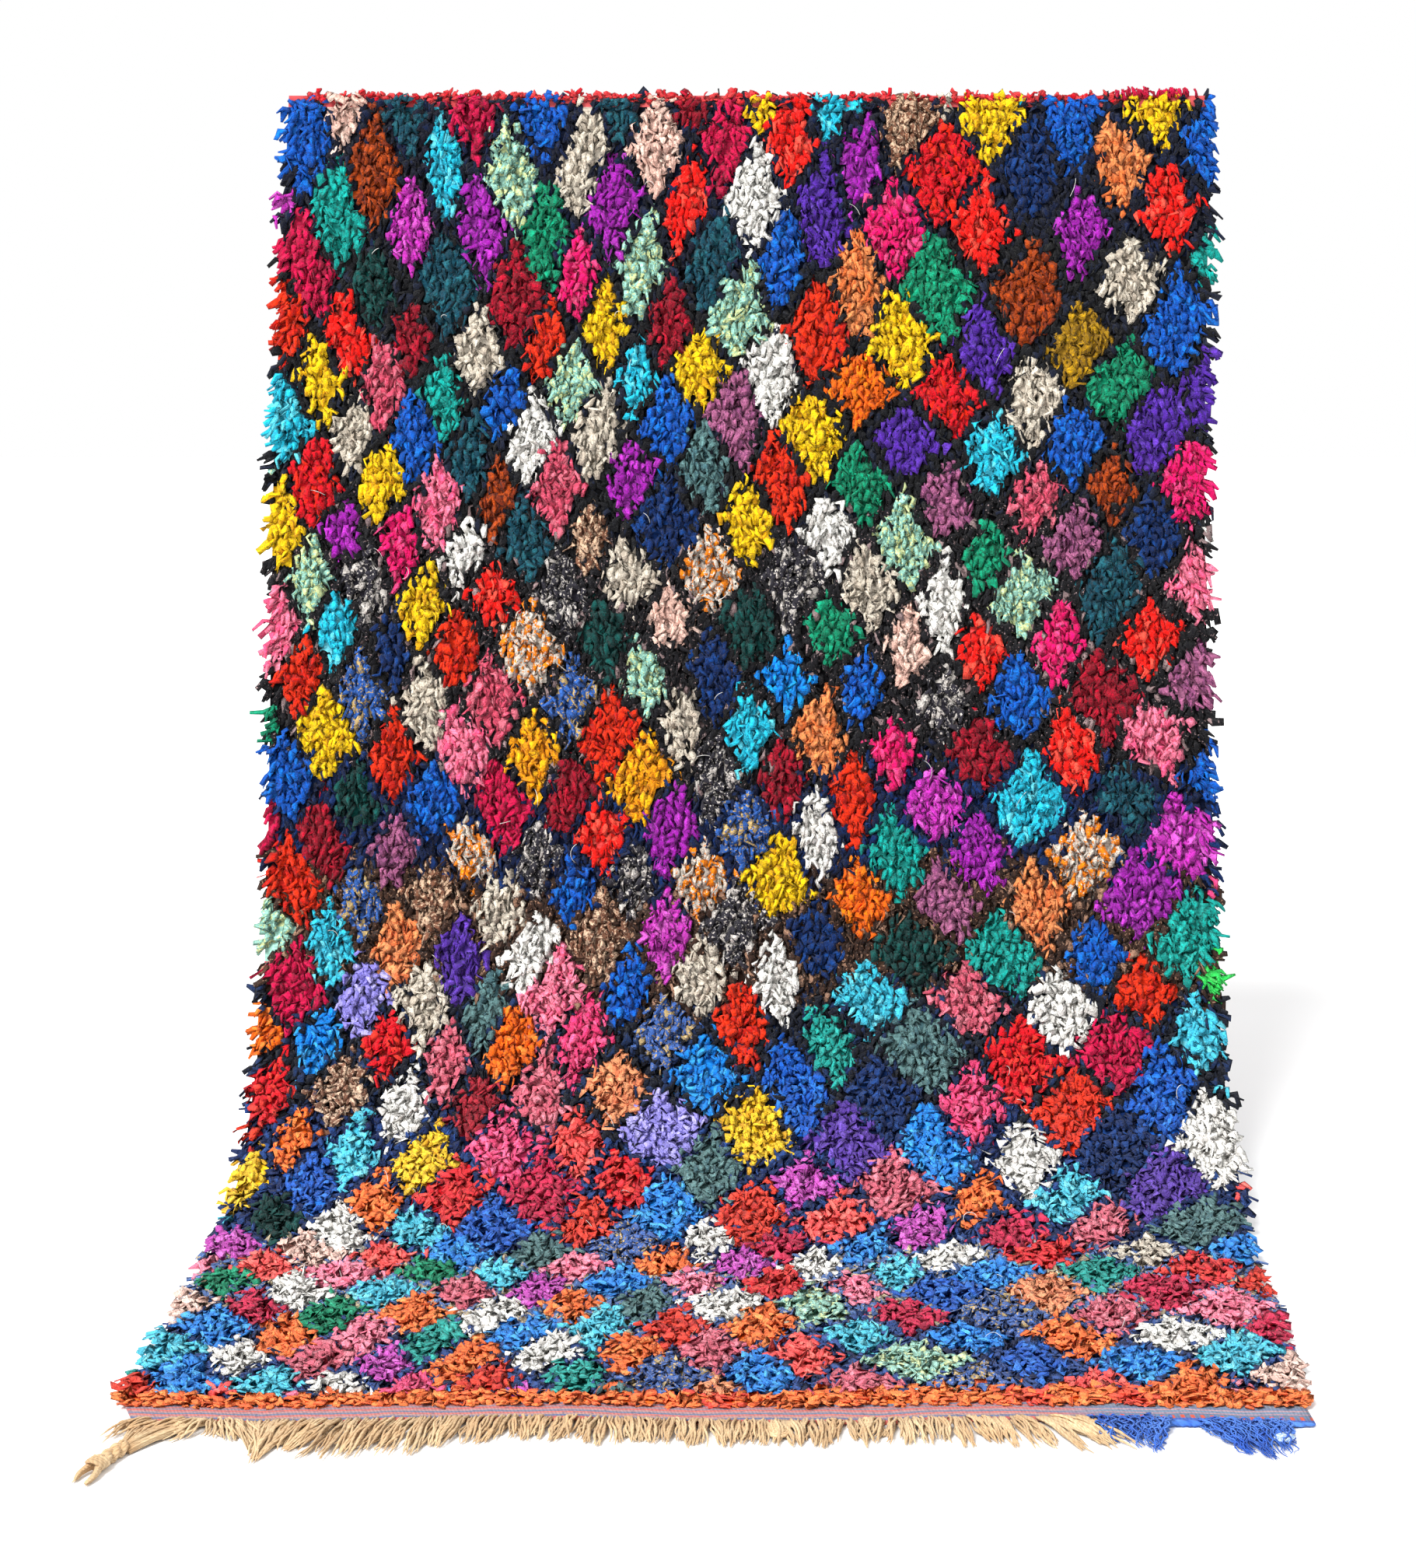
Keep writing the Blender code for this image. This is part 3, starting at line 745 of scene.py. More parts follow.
    def finish(self, colour: Socket, relief: Socket, depth: float, strength: float) -> Material:
        """Gives the surface its colour and relief.

        Args:
            colour: The colour's socket.
            relief: The relief's socket, from 0 to 1.
            depth: How deep the relief is.
            strength: How much of it shows.

        Returns:
            The finished material.
        """
        self.fill(self.surface["Base Color"], colour)
        self.fill(self.surface["Normal"], self.node("Bump", Strength=strength, Distance=depth, Height=relief))
        return self.material


@dataclass(frozen=True)
class RagFinish:
    """Cut strips of cotton and jersey: matt, ribbed, flecked and a little faded, more so on the floor; their
    roots and creases darkened with painted shade, their tips and folds lightened with painted light.
    """

    name: str = "rag_strips"
    fleck_scale: float = 230.0
    fade_scale: float = 60.0
    crease_scale: float = 300.0
    ribs: float = 1.0
    relief: float = 0.0022
    # painted shade at each lock's root and painted light at its tip, as factors on its colour
    root_painted_shade: float = 0.86
    tip_painted_light: float = 1.12
    heights: tuple[float, float] = (-1.64, -1.20)
    dye_depths: tuple[float, float] = (0.96, 1.09)

    def material(self) -> Material:
        """Makes the finish, which reads each lock's colours from the mesh.

        Returns:
            The material.
        """
        shader = Shader(self.name, 0.92, 0.06)
        edge = shader.calculate("MULTIPLY_ADD", shader.attribute("fleck"), -0.42, 0.71)
        over = shader.calculate("SUBTRACT", shader.noise(self.fleck_scale, 1.0), edge)
        flecks = shader.between(over, 0.0, 0.03, 0.0, 1.0)
        colour = shader.mix(flecks, shader.attribute("rag", "Color"), shader.attribute("partner", "Color"))
        depth = shader.between(shader.part(shader.rug, "Z"), *self.heights, *self.dye_depths)
        colour = shader.node("HueSaturation", Saturation=depth, Color=colour)
        lie = shader.node("UVMap", uv_map="lie")
        wave = shader.wave(lie, "X", self.ribs, 2.5, 2.0)
        # one fine noise gives the creases both their relief and their painted shade and highlights
        crease_and_shade = shader.between(shader.noise(self.crease_scale, 4.0), 0.35, 0.65, 0.0, 1.0)
        down = shader.calculate("FRACT", shader.product(shader.part(lie, "Y"), 0.999))
        # the tone: broad patches and each lock's own tone differ at random; the darker root and lighter tip
        # are painted shade and light, the creases carry painted shade and highlights, and the bands along
        # each strip are partly its own streaks and partly painted shade of its folds
        tone = shader.product(
            shader.between(shader.noise(self.fade_scale, 3.0), 0.3, 0.7, 0.80, 1.20),
            shader.attribute("tone"),
            shader.between(down, 0.0, 0.7, self.root_painted_shade, self.tip_painted_light),
            shader.between(crease_and_shade, 0.0, 1.0, 0.88, 1.12),
            shader.between(wave, 0.0, 1.0, 0.80, 1.14),
        )
        relief = shader.calculate("ADD", shader.product(wave, 0.4), crease_and_shade)
        return shader.finish(shader.shade(colour, tone), relief, self.relief, 1.0)


@dataclass(frozen=True)
class YarnFinish:
    """Twisted wool yarn of one colour."""

    name: str
    colour: Colour
    shadow: Colour
    light: Colour
    turns: float = 9.0
    slant: float = math.radians(40.0)

    def material(self) -> Material:
        """Makes the finish, with its plies running round the yarn.

        Returns:
            The material.
        """
        shader = Shader(self.name, 0.9, 0.08)
        scale, turn = (1.0, self.turns, 1.0), (0.0, 0.0, self.slant)
        lie = shader.node("Mapping", Vector=shader.node("UVMap", uv_map="lie"), Scale=scale, Rotation=turn)
        ply = shader.wave(lie, "X", 0.55, 1.0, 2.0)
        patch = shader.between(shader.noise(30.0), 0.35, 0.65, 0.0, 1.0)
        base = shader.mix(patch, linear(self.colour), linear(self.light))
        base = shader.mix(shader.between(ply, 0.0, 0.6, 0.34, 0.0), base, linear(self.shadow))
        return shader.finish(shader.shade(base, shader.attribute("tone")), ply, 0.0005, 0.45)


BEIGE_WOOL = YarnFinish("undyed_wool", (190, 157, 118), (142, 106, 70), (208, 182, 144))
BLUE_WOOL = YarnFinish("blue_wool", (44, 90, 184), (16, 42, 112), (84, 132, 214), turns=10.0)
ROSE_BAND = YarnFinish("rose_band", (190, 66, 70), (110, 26, 34), (210, 92, 92), turns=2.0)
PALE_THREAD = YarnFinish("loose_threads", (206, 204, 198), (150, 150, 150), (232, 232, 228))


@dataclass(frozen=True)
class KnottedFinish:
    """The back of the pile: rows of small rag knots between the wefts."""

    knots_across: float = 64.0
    rows: float = 111.0
    weft: Colour = (70, 62, 58)

    def material(self) -> Material:
        """Makes the finish, which reads each knot's colour from the mesh.

        Returns:
            The material.
        """
        shader = Shader("knotted_back", 0.95, 0.2)
        cloth = shader.node("UVMap", uv_map="cloth")
        humps = []
        for axis, count in (("X", self.knots_across), ("Y", self.rows)):
            turned = shader.product(shader.part(cloth, axis), count * math.pi)
            humps.append(shader.calculate("ABSOLUTE", shader.calculate("SINE", turned)))
        hump = shader.calculate("POWER", shader.product(*humps), 0.5)
        tone = shader.between(shader.noise(300.0, 3.0), 0.3, 0.7, 0.65, 1.1)
        knot = shader.shade(shader.attribute("rag", "Color"), tone)
        colour = shader.mix(shader.between(hump, 0.25, 0.5, 1.0, 0.0), knot, linear(self.weft))
        relief = shader.calculate("ADD", hump, shader.product(shader.noise(500.0), 0.3))
        return shader.finish(colour, relief, 0.003, 0.9)


@dataclass(frozen=True)
class GroundFinish:
    """The weft that shows in the gaps of the pile, carrying its knots' colour darkened with painted shade."""

    ribs: float = 60.0

    def material(self) -> Material:
        """Makes the finish: each knot's colour in deep shade, with weft ribs.

        Returns:
            The material.
        """
        shader = Shader("weft_in_painted_shade", 1.0, 0.0)
        wave = shader.wave(shader.node("UVMap", uv_map="cloth"), "Y", self.ribs, 2.0, 2.0)
        tone = shader.between(shader.noise(200.0, 3.0), 0.3, 0.7, 0.6, 1.2)
        # painted shade: the knots' colour darkened by the mesh's shade factor, most where the dark ground
        # lies
        tone = shader.product(tone, shader.attribute("shade"))
        return shader.finish(shader.shade(shader.attribute("rag", "Color"), tone), wave, 0.001, 0.7)


@dataclass(frozen=True)
class FlatWeaveFinish:
    """The flat-woven end: thin stripes of lilac grey, pink and blue with dashes, bluer at the right."""

    start: float = 2.420
    depth: float = 0.052
    left_stripes: tuple[tuple[float, Colour], ...] = (
        (0.00, (138, 142, 168)),
        (0.12, (222, 136, 132)),
        (0.22, (172, 150, 162)),
        (0.32, (232, 120, 112)),
        (0.42, (206, 156, 156)),
        (0.52, (128, 140, 170)),
        (0.62, (232, 132, 122)),
        (0.72, (204, 162, 158)),
        (0.82, (110, 128, 170)),
        (0.92, (232, 112, 98)),
    )
    right_stripes: tuple[tuple[float, Colour], ...] = (
        (0.00, (150, 162, 178)),
        (0.18, (124, 144, 178)),
        (0.34, (208, 168, 178)),
        (0.42, (134, 156, 184)),
        (0.56, (206, 160, 170)),
        (0.62, (110, 136, 170)),
        (0.78, (104, 124, 168)),
        (0.90, (70, 104, 196)),
    )
    right_reach: tuple[float, float] = (1.13, 1.19)
    bead_reach: tuple[float, float] = (1.16, 1.17)
    bead: Colour = (232, 88, 60)
    dash: Colour = (82, 88, 118)
    dash_sizes: tuple[float, float, float] = (150.0, 480.0, 1.0)

    def material(self) -> Material:
        """Makes the finish, striped along the cloth and ribbed across it, with beads at the right.

        Returns:
            The material.
        """
        shader = Shader("flat_weave", 0.95, 0.1)
        cloth = shader.node("UVMap", uv_map="cloth")
        x = shader.part(cloth, "X")
        along = shader.calculate("ADD", shader.part(cloth, "Y"), shader.product(shader.noise(14.0), 0.012))
        down = shader.between(along, self.start, self.start + self.depth, 0.0, 1.0)
        left, right = shader.stripes(down, self.left_stripes), shader.stripes(down, self.right_stripes)
        base = shader.mix(shader.between(x, *self.right_reach, 0.0, 1.0), left, right)
        stretched = shader.node("Mapping", Vector=cloth, Scale=self.dash_sizes)
        dashes = shader.node("TexNoise", "Fac", Vector=stretched, Scale=1.0, Detail=1.0)
        base = shader.mix(shader.between(dashes, 0.56, 0.62, 0.0, 0.6), base, linear(self.dash))
        beads = shader.product(
            shader.between(shader.calculate("SINE", shader.product(x, 520.0)), 0.1, 0.4, 0.0, 1.0),
            shader.between(x, *self.bead_reach, 0.0, 1.0),
            shader.between(down, 0.70, 0.74, 0.0, 1.0),
            shader.between(down, 0.88, 0.92, 1.0, 0.0),
        )
        base = shader.mix(beads, base, linear(self.bead))
        ribs, warps = shader.wave(cloth, "Y", 120.0, 1.0, 1.0), shader.wave(cloth, "X", 70.0, 1.0, 1.0)
        weave = shader.product(ribs, warps)
        # painted shade between the threads: darkest where weft and warp both dip, with the whole weave a
        # little darkened
        colour = shader.shade(base, shader.between(weave, 0.0, 1.0, 0.54, 0.90))
        return shader.finish(colour, weave, 0.0012, 0.8)


@dataclass(frozen=True)
class FloorFinish:
    """The pale studio floor."""

    colour: Colour = (244, 244, 244)

    def material(self) -> Material:
        """Makes the finish, with a faint unevenness.

        Returns:
            The material.
        """
        shader = Shader("studio_floor", 0.8, 0.0)
        tone = shader.between(shader.noise(3.0), 0.3, 0.7, 0.985, 1.0)
        return shader.finish(shader.shade(linear(self.colour), tone), shader.noise(60.0), 0.0001, 0.1)


def dress(piece: Piece, part: Part, *materials: Material) -> Piece:
    """Gives a piece its finishes, and lets it ride with the rug in the place of a node.

    Args:
        piece: The piece.
        part: What it stands for.
        *materials: Its finishes.

    Returns:
        The piece.
    """
    for material in materials:
        piece.data.materials.append(material)
    node, slot = part.value
    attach(piece, BODY)
    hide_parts(node)
    LOG.info("%s: %d faces", piece.name, len(piece.data.polygons))
    return piece


@dataclass
class WovenGround:
    """The cloth itself: rose end band, knotted ground and flat-woven end, one thin sheet."""

    drape: Drape
    lozenges: Lozenges
    columns: int = 95
    band_end: float = 0.018
    field_end: float = 2.414
    row_pitch: float = 0.018
    weave_rows: int = 5
    clearance: float = 0.0005
    thickness: float = 0.0026
    ripple: float = 0.0028
    ripple_start: float = 2.40
    ground_shade: float = 0.35
    rag_shade: float = 0.95
    piece: Piece | None = None

    def rows(self) -> Array:
        """Lists the lengths along the cloth of the sheet's rows of points.

        Returns:
            The lengths.
        """
        count = round((self.field_end - self.band_end) / self.row_pitch)
        knots = np.linspace(self.band_end, self.field_end, count + 1)
        weave = np.linspace(self.field_end, self.drape.length, self.weave_rows + 1)[1:]
        return np.concatenate([[0.0, self.band_end / 2], knots, weave])

    def layers(self, share: Array, along: Array) -> Array:
        """Places the points of the sheet's two faces.

        Args:
            share: Each point's share of the width.
            along: Its length along the cloth.

        Returns:
            The front's points, then the back's.
        """
        back, out = self.drape.back(share, along), self.drape.directions(along)[1]
        near_end = np.clip((along - self.ripple_start) / 0.05, 0.0, 1.0)
        wave = 0.5 + 0.3 * np.sin(share * 37.0) + 0.2 * np.sin(share * 83.0 + 2.0)
        under = self.clearance + self.ripple * (near_end * wave)[:, None]
        return np.concatenate([back + out * (under + self.thickness), back + out * under])

    def build(self) -> Piece:
        """Builds the sheet from its two faces and its rim, and dresses it.

        Returns:
            The sheet, with its knots' colours and its map in metres.
        """
        rows, wide = self.rows(), self.columns + 1
        share, along = (values.ravel() for values in np.meshgrid(np.linspace(0.0, 1.0, wide), rows))
        points = self.layers(share, along)
        grid = np.arange(len(share)).reshape(-1, wide)
        front = np.stack([grid[:-1, :-1], grid[1:, :-1], grid[1:, 1:], grid[:-1, 1:]], axis=-1).reshape(-1, 4)
        both = np.stack([front, front[:, ::-1] + len(share)], axis=1).reshape(-1, 4)
        rim = np.concatenate([grid[0], grid[1:, -1], grid[-1, -2::-1], grid[-2:0:-1, 0]])
        ahead = np.roll(rim, -1)
        faces = np.concatenate([both, np.stack([rim, ahead, ahead + len(share), rim + len(share)], axis=-1)])
        mesh = bpy.data.meshes.new("woven_ground")
        mesh.from_pydata(points.tolist(), [], faces.tolist())

        # the rose band, the knotted ground and the flat weave, and the back of the knots
        finish = np.searchsorted((self.band_end, self.field_end), np.repeat(rows[:-1], self.columns), "right")
        finish = np.stack([finish, np.where(finish == 1, 3, finish)], axis=1).ravel()
        finish = np.append(finish, np.full(len(rim), 2)).astype(np.int32)
        mesh.polygons.foreach_set("material_index", finish)
        mesh.polygons.foreach_set("use_smooth", np.arange(len(faces)) < len(both))

        middles = np.meshgrid((np.arange(self.columns) + 0.5) / self.columns, (rows[:-1] + rows[1:]) / 2)
        knotting = self.lozenges.knots(*(values.ravel() for values in middles))
        cells = np.append(np.repeat(np.arange(len(front)), 2), np.zeros(len(rim), dtype=int)).repeat(4)
        paint(mesh, "rag", knotting.cut.rag[cells], "CORNER")
        paint(mesh, "shade", np.where(knotting.ground, self.ground_shade, self.rag_shade)[cells], "CORNER")
        width = self.drape.selvages[0].right - self.drape.selvages[0].left
        flat = np.tile(np.stack([share * width, along], axis=-1), (2, 1))
        lay_map(mesh, "cloth", flat[faces.ravel()])
        paint(mesh, "tone", np.ones(len(points)))
        finishes = (ROSE_BAND, GroundFinish(), FlatWeaveFinish(), KnottedFinish())
        self.piece = dress(place("woven_ground", mesh), Part.RUG, *(one.material() for one in finishes))
        return self.piece


@dataclass(frozen=True)
class LockCut:
    """How the rag locks of a stretch are cut and lie, their sizes from least to most.

    Attributes:
        length: From knot to tip.
        width: Across the strip.
        thickness: Through it.
        lift: How far a lock's hump stands off the cloth.
        bend: How far over it bends, from 0.5 with its tip standing to 1 with its tip down.
        stray: How far its heading strays from straight down the cloth, in radians.
    """

    length: tuple[float, float]
    width: tuple[float, float]
    thickness: tuple[float, float]
    lift: tuple[float, float]
    bend: tuple[float, float]
    stray: float


SIZES = ("length", "width", "thickness", "lift", "bend")
HUNG_CUT = LockCut((0.014, 0.027), (0.0085, 0.0170), (0.0022, 0.0042), (0.003, 0.013), (0.62, 0.94), 0.36)
LAID_CUT = LockCut((0.011, 0.022), (0.0100, 0.0190), (0.0024, 0.0044), (0.006, 0.015), (0.55, 0.85), 0.75)
ORANGE_CUT = LockCut((0.015, 0.026), (0.0110, 0.0180), (0.0018, 0.0034), (0.005, 0.012), (0.45, 0.75), 0.50)
ROSE_CUT = LockCut((0.010, 0.018), (0.0050, 0.0100), (0.0020, 0.0036), (0.002, 0.006), (0.55, 0.90), 0.60)
CRIMSON_CUT = LockCut((0.016, 0.026), (0.0040, 0.0070), (0.0030, 0.0045), (0.006, 0.012), (0.45, 0.65), 0.30)


@dataclass
class Locks:
    """A group of rag locks: where each is knotted, how it is cut and how it lies, one number a lock."""

    share: Array
    along: Array
    heading: Array
    length: Array
    width: Array
    thickness: Array
    lift: Array
    bend: Array

    @classmethod
    def cut(cls, share: Array, along: Array, chance: Chance, first: LockCut, second: LockCut,
            part: Array | float = 0.0) -> "Locks":
        """Cuts locks between two ways of cutting.

        Args:
            share: The knots' shares of the width.
            along: Their lengths along the cloth.
            chance: Where the small chances come from.
            first: The one way of cutting.
            second: The other.
            part: 0 for the first way, 1 for the second, and between them a mixture.

        Returns:
            The locks.
        """
        sizes = {}
        for name in SIZES:
            ends = zip(getattr(first, name), getattr(second, name))
            low, high = (start + (end - start) * part for start, end in ends)
            sizes[name] = low + (high - low) * chance.uniform(size=len(share))
        stray = first.stray + (second.stray - first.stray) * part
        return cls(share, along, chance.normal(size=len(share)) * stray, **sizes)

    def shape(self, drape: Drape, rings: int, sides: int, chance: Chance) -> Array:
        """Shapes the locks: each comes out of its knot, humps over and lies down along its heading.

        Args:
            drape: The cloth that they are knotted into.
            rings: Rings of points along each.
            sides: Points of each ring.
            chance: Where the small chances come from.

        Returns:
            Locks by rings by sides by coordinates.
        """
        count = len(self.share)
        down, out = drape.directions(self.along)
        root = drape.back(self.share, self.along) + out * 0.002
        cosine, sine = np.cos(self.heading)[:, None], np.sin(self.heading)[:, None]
        ahead = down * cosine + ACROSS * sine
        side = ACROSS * cosine - down * sine
        t = np.linspace(0.0, 1.0, rings)[None, :]
        rise = np.sin(math.pi * self.bend[:, None] * t) ** 0.8
        run = t ** chance.uniform(1.0, 1.5, count)[:, None]
        curl = chance.normal(size=count)[:, None] * 0.20 * np.sin(math.pi * t)
        length = self.length[:, None]
        path = (
            root[:, None, :]
            + ahead[:, None, :] * (length * run)[..., None]
            + out[:, None, :] * (self.lift[:, None] * rise)[..., None]
            + side[:, None, :] * (length * curl)[..., None]
        )
        swell = np.interp(t[0], [0.0, 0.4, 0.7, 1.0], [0.80, 1.05, 1.10, 1.00])[None, :]
        half_width = self.width[:, None] / 2 * swell * chance.uniform(0.82, 1.18, (count, rings))
        half_width[:, -1] *= chance.uniform(0.25, 1.0, count)
        half_height = self.thickness[:, None] / 2 * chance.uniform(0.8, 1.25, (count, rings))
        roll = chance.normal(size=count)[:, None] * 0.5 + chance.normal(size=count)[:, None] * 0.6 * t
        crumple = chance.uniform(0.55, 1.45, (count, rings, sides))
        return around(path, side, half_width, half_height, crumple, drape.floor + LOCK_GAP, roll)


def knot_locks(name: str, points: Array, cut: RagCut, seed: int, finish: Material) -> Piece:
    """Builds rag locks and dresses them.

    Args:
        name: The piece's name.
        points: Locks by rings by sides by coordinates.
        cut: What they are cut from.
        seed: Seed of the small differences in tone.
        finish: The rags' finish.

    Returns:
        The piece.
    """
    tone = np.random.default_rng(seed).uniform(0.84, 1.18, len(points))
    return dress(tubes(name, points, **cut._asdict(), tone=tone), Part.RUG, finish)


@dataclass
class RagPile:
    """The knotted pile, in panels of whole rows of rag locks."""

    drape: Drape
    lozenges: Lozenges
    columns: int = 97
    first_row: float = 0.008
    last_row: float = 2.420
    row_pitch: float = 0.0166
    strips: int = 4
    rings: int = 3
    sides: int = 3
    panels: int = 5
    side_band: float = 0.026
    hang: float = 0.009
    edge_rows: float = 0.020
    seed: int = 23

    def roots(self) -> tuple[Array, Array, Array]:
        """Sets out the knots.

        Returns:
            Each lock's share of the width and length along the cloth, and the number of its row.
        """
        chance = np.random.default_rng(self.seed)
        columns = self.columns
        roots = []
        for row in range(round((self.last_row - self.first_row) / self.row_pitch) + 1):
            share = (np.arange(columns) + (0.25 if row % 2 else 0.75)) / columns
            share = share + chance.uniform(-0.25, 0.25, columns) / columns
            along = self.first_row + row * self.row_pitch + chance.uniform(-0.0025, 0.0025, columns)
            for _ in range(self.strips):
                strip = np.clip(share + chance.uniform(-0.32, 0.32, columns) / columns, 0.002, 0.998)
                roots.append((strip, along + chance.uniform(-0.005, 0.004, columns), np.full(columns, row)))
        share, along, row = (np.concatenate(values) for values in zip(*roots))
        return share, along, row

    def locks(self, share: Array, along: Array, knotting: Knotting) -> Locks:
        """Cuts the field's locks and lays them.

        Args:
            share: The knots' shares of the width.
            along: Their lengths along the cloth.
            knotting: What they are cut from.

        Returns:
            The locks.
        """
        chance = np.random.default_rng(self.seed + 1)
        count = len(share)
        laid = np.clip((along - self.drape.bend_start - 0.1) / 0.8, 0.0, 1.0)
        locks = Locks.cut(share, along, chance, HUNG_CUT, LAID_CUT, laid)
        locks.lift *= np.where(knotting.ground, 0.62, 0.78 + 0.45 * knotting.mound)

        # both long sides: the nearer the side, the more a lock points out
        left, right = self.drape.sides(along)
        outward = chance.uniform(0.3, 1.35, count)
        near_left = np.clip(1.0 - share * (right - left) / self.side_band, 0.0, 1.0)
        near_right = np.clip(1.0 - (1.0 - share) * (right - left) / self.side_band, 0.0, 1.0)
        locks.heading *= 1.0 - near_left - near_right
        locks.heading += outward * (near_right - near_left) * 1.2
        locks.length *= 1.0 + (near_left + near_right) * chance.uniform(0.0, 0.4, count)

        # the top edge: some locks stand up over it
        at_top = along < self.edge_rows
        locks.heading[at_top] = chance.normal(size=int(at_top.sum())) * 1.3
        locks.length[at_top] *= np.where(np.abs(locks.heading[at_top]) > 1.4, 0.6, 1.0)

        # the orange band: longer ribbons that lean left or right and stand, less so at the very front
        orange = self.lozenges.orange(share, along + self.hang)
        ribbons = Locks.cut(share, along, chance, ORANGE_CUT, ORANGE_CUT)
        leftward = 0.5 + 0.42 * np.sin(share * 23.0 + 0.5)
        ribbons.heading = 1.25 * np.where(chance.uniform(size=count) < leftward, -1.0, 1.0) + ribbons.heading
        front = np.clip((along - self.last_row + self.row_pitch) / self.row_pitch, 0.0, 1.0)
        for name, loss in (("heading", 0.5), ("lift", 0.45), ("length", 0.50)):
            setattr(ribbons, name, getattr(ribbons, name) * (1.0 - loss * front))
        for name in ("heading", *SIZES):
            setattr(locks, name, np.where(orange, getattr(ribbons, name), getattr(locks, name)))
        return locks

    def build(self) -> list[Piece]:
        """Builds the panels, each with its locks' colours.

        Returns:
            The panels.
        """
        share, along, row = self.roots()
        knotting = self.lozenges.knots(share, along + self.hang)
        locks = self.locks(share, along, knotting)
        points = locks.shape(self.drape, self.rings, self.sides, np.random.default_rng(self.seed + 2))
        finish = RagFinish().material()
        pieces = []
        for panel in range(self.panels):
            first, last = ((row.max() + 1) * number // self.panels for number in (panel, panel + 1))
            where = (row >= first) & (row < last)
            cut = RagCut(*(values[where] for values in knotting.cut))
            name = f"rag_pile_{panel + 1}"
            pieces.append(knot_locks(name, points[where], cut, self.seed + 3 + panel, finish))
        return pieces


@dataclass
class TopTufts:
    """Small tufts along the top edge: rose ones that lie, and crimson ones at the right that stand."""

    drape: Drape
    rose: int = 420
    crimson: int = 60
    rings: int = 4
    sides: int = 4
    seed: int = 61

    def build(self) -> Piece:
        """Builds both kinds in one mesh.

        Returns:
            The piece.
        """
        chance = np.random.default_rng(self.seed)
        end = self.drape.selvages[0]
        reaches = ((end.left + 0.03, CRIMSON_REACH[0]), CRIMSON_REACH)
        groups = []
        for kind, number, reach in zip((ROSE_CUT, CRIMSON_CUT), (self.rose, self.crimson), reaches):
            x = chance.uniform(*reach, number)
            share = (x - end.left) / (end.right - end.left)
            lump = 0.5 + 0.5 * np.sin(x * 37.0) * np.sin(x * 91.0 + 1.0)
            along = chance.uniform(0.000, 0.008, number)
            locks = Locks.cut(share, along, chance, kind, kind)
            if kind is CRIMSON_CUT:
                locks.heading = math.pi + 0.35 + locks.heading
                locks.length *= 0.55
            else:
                upward = np.where(chance.uniform(size=number) < 0.25 + 0.35 * lump, 2.4, 1.5)
                locks.heading = upward * np.sign(chance.uniform(-1, 1, number)) + locks.heading * 0.5
                locks.length *= 0.45 + 0.55 * lump
            groups.append(locks.shape(self.drape, self.rings, self.sides, chance))
        points = np.concatenate(groups)
        crimson = (np.arange(len(points)) >= self.rose).astype(int)
        cut = RagCut.draw(TUFT_RAGS, crimson, chance)
        return knot_locks("top_tufts", points, cut, self.seed + 1, RagFinish().material())


@dataclass(frozen=True)
class YarnCut:
    """How the yarns of a fringe are spun and lie.

    Attributes:
        radius: Half a yarn's thickness.
        rings: Rings of points along each.
        sides: Points of each ring.
        curl: How far it waves to either side.
        turns: How many waves it has.
        lift: How high the topmost yarns ride over those below.
    """

    radius: float
    rings: int
    sides: int
    curl: float
    turns: float
    lift: float

    def lay(self, root: Array, tip: Array, floor: float, chance: Chance) -> Array:
        """Lays loose yarns on the floor, each from a root under the cloth to its tip.

        Args:
            root: Where each begins, seen from above.
            tip: Where it ends.
            floor: The floor's height.
            chance: Where the small chances come from.

        Returns:
            Yarns by rings by sides by coordinates.
        """
        one = (len(root), 1)
        t = np.linspace(0.0, 1.0, self.rings)[None, :]
        x = root[:, :1] + (tip[:, :1] - root[:, :1]) * t ** chance.uniform(0.9, 1.7, one)
        y = root[:, 1:] + (tip[:, 1:] - root[:, 1:]) * t
        phase = chance.uniform(0.0, math.tau, one)
        wave = math.tau * self.turns * chance.uniform(0.7, 1.3, one) * t + phase
        swing = self.curl * np.clip(t * 3.0, 0.0, 1.0) * chance.uniform(0.4, 1.3, one)
        x = x + swing * np.sin(wave)
        y = y + swing * 0.6 * np.cos(wave * 0.9)
        arch = np.sin(math.pi * np.clip(0.12 + t * 0.92, 0.0, 1.0)) ** 0.8
        z = self.lift * chance.uniform(0.0, 1.0, one) * arch + swing * 0.4 * (1 + np.sin(wave * 1.1 + 1.0))
        path = np.stack([x, y, floor + self.radius + REST_GAP + z], axis=-1)
        taper = np.interp(t[0], [0.0, 0.1, 0.75, 1.0], [0.85, 1.0, 0.9, 0.35])[None, :]
        half = self.radius * taper * chance.uniform(0.8, 1.2, one)
        crumple = chance.uniform(0.88, 1.12, (len(root), self.rings, self.sides))
        return around(path, ACROSS, half, half, crumple, floor + YARN_GAP)


def wind(name: str, paths: Array, radius: Array | float, sides: int, floor: float, seed: int) -> Piece:
    """Builds yarns from their middle lines.

    Args:
        name: The piece's name.
        paths: Yarns by rings by coordinates.
        radius: Half their thickness, one for all or ring by ring.
        sides: Points of each ring.
        floor: The floor's height, which they stay above.
        seed: Seed of the small differences.

    Returns:
        The piece.
    """
    chance = np.random.default_rng(seed)
    half = np.broadcast_to(radius, paths.shape[:2])
    crumple = chance.uniform(0.92, 1.08, (*paths.shape[:2], sides))
    points = around(paths, ACROSS, half, half, crumple, floor + YARN_GAP)
    return tubes(name, points, tone=chance.uniform(0.82, 1.08, len(paths)))


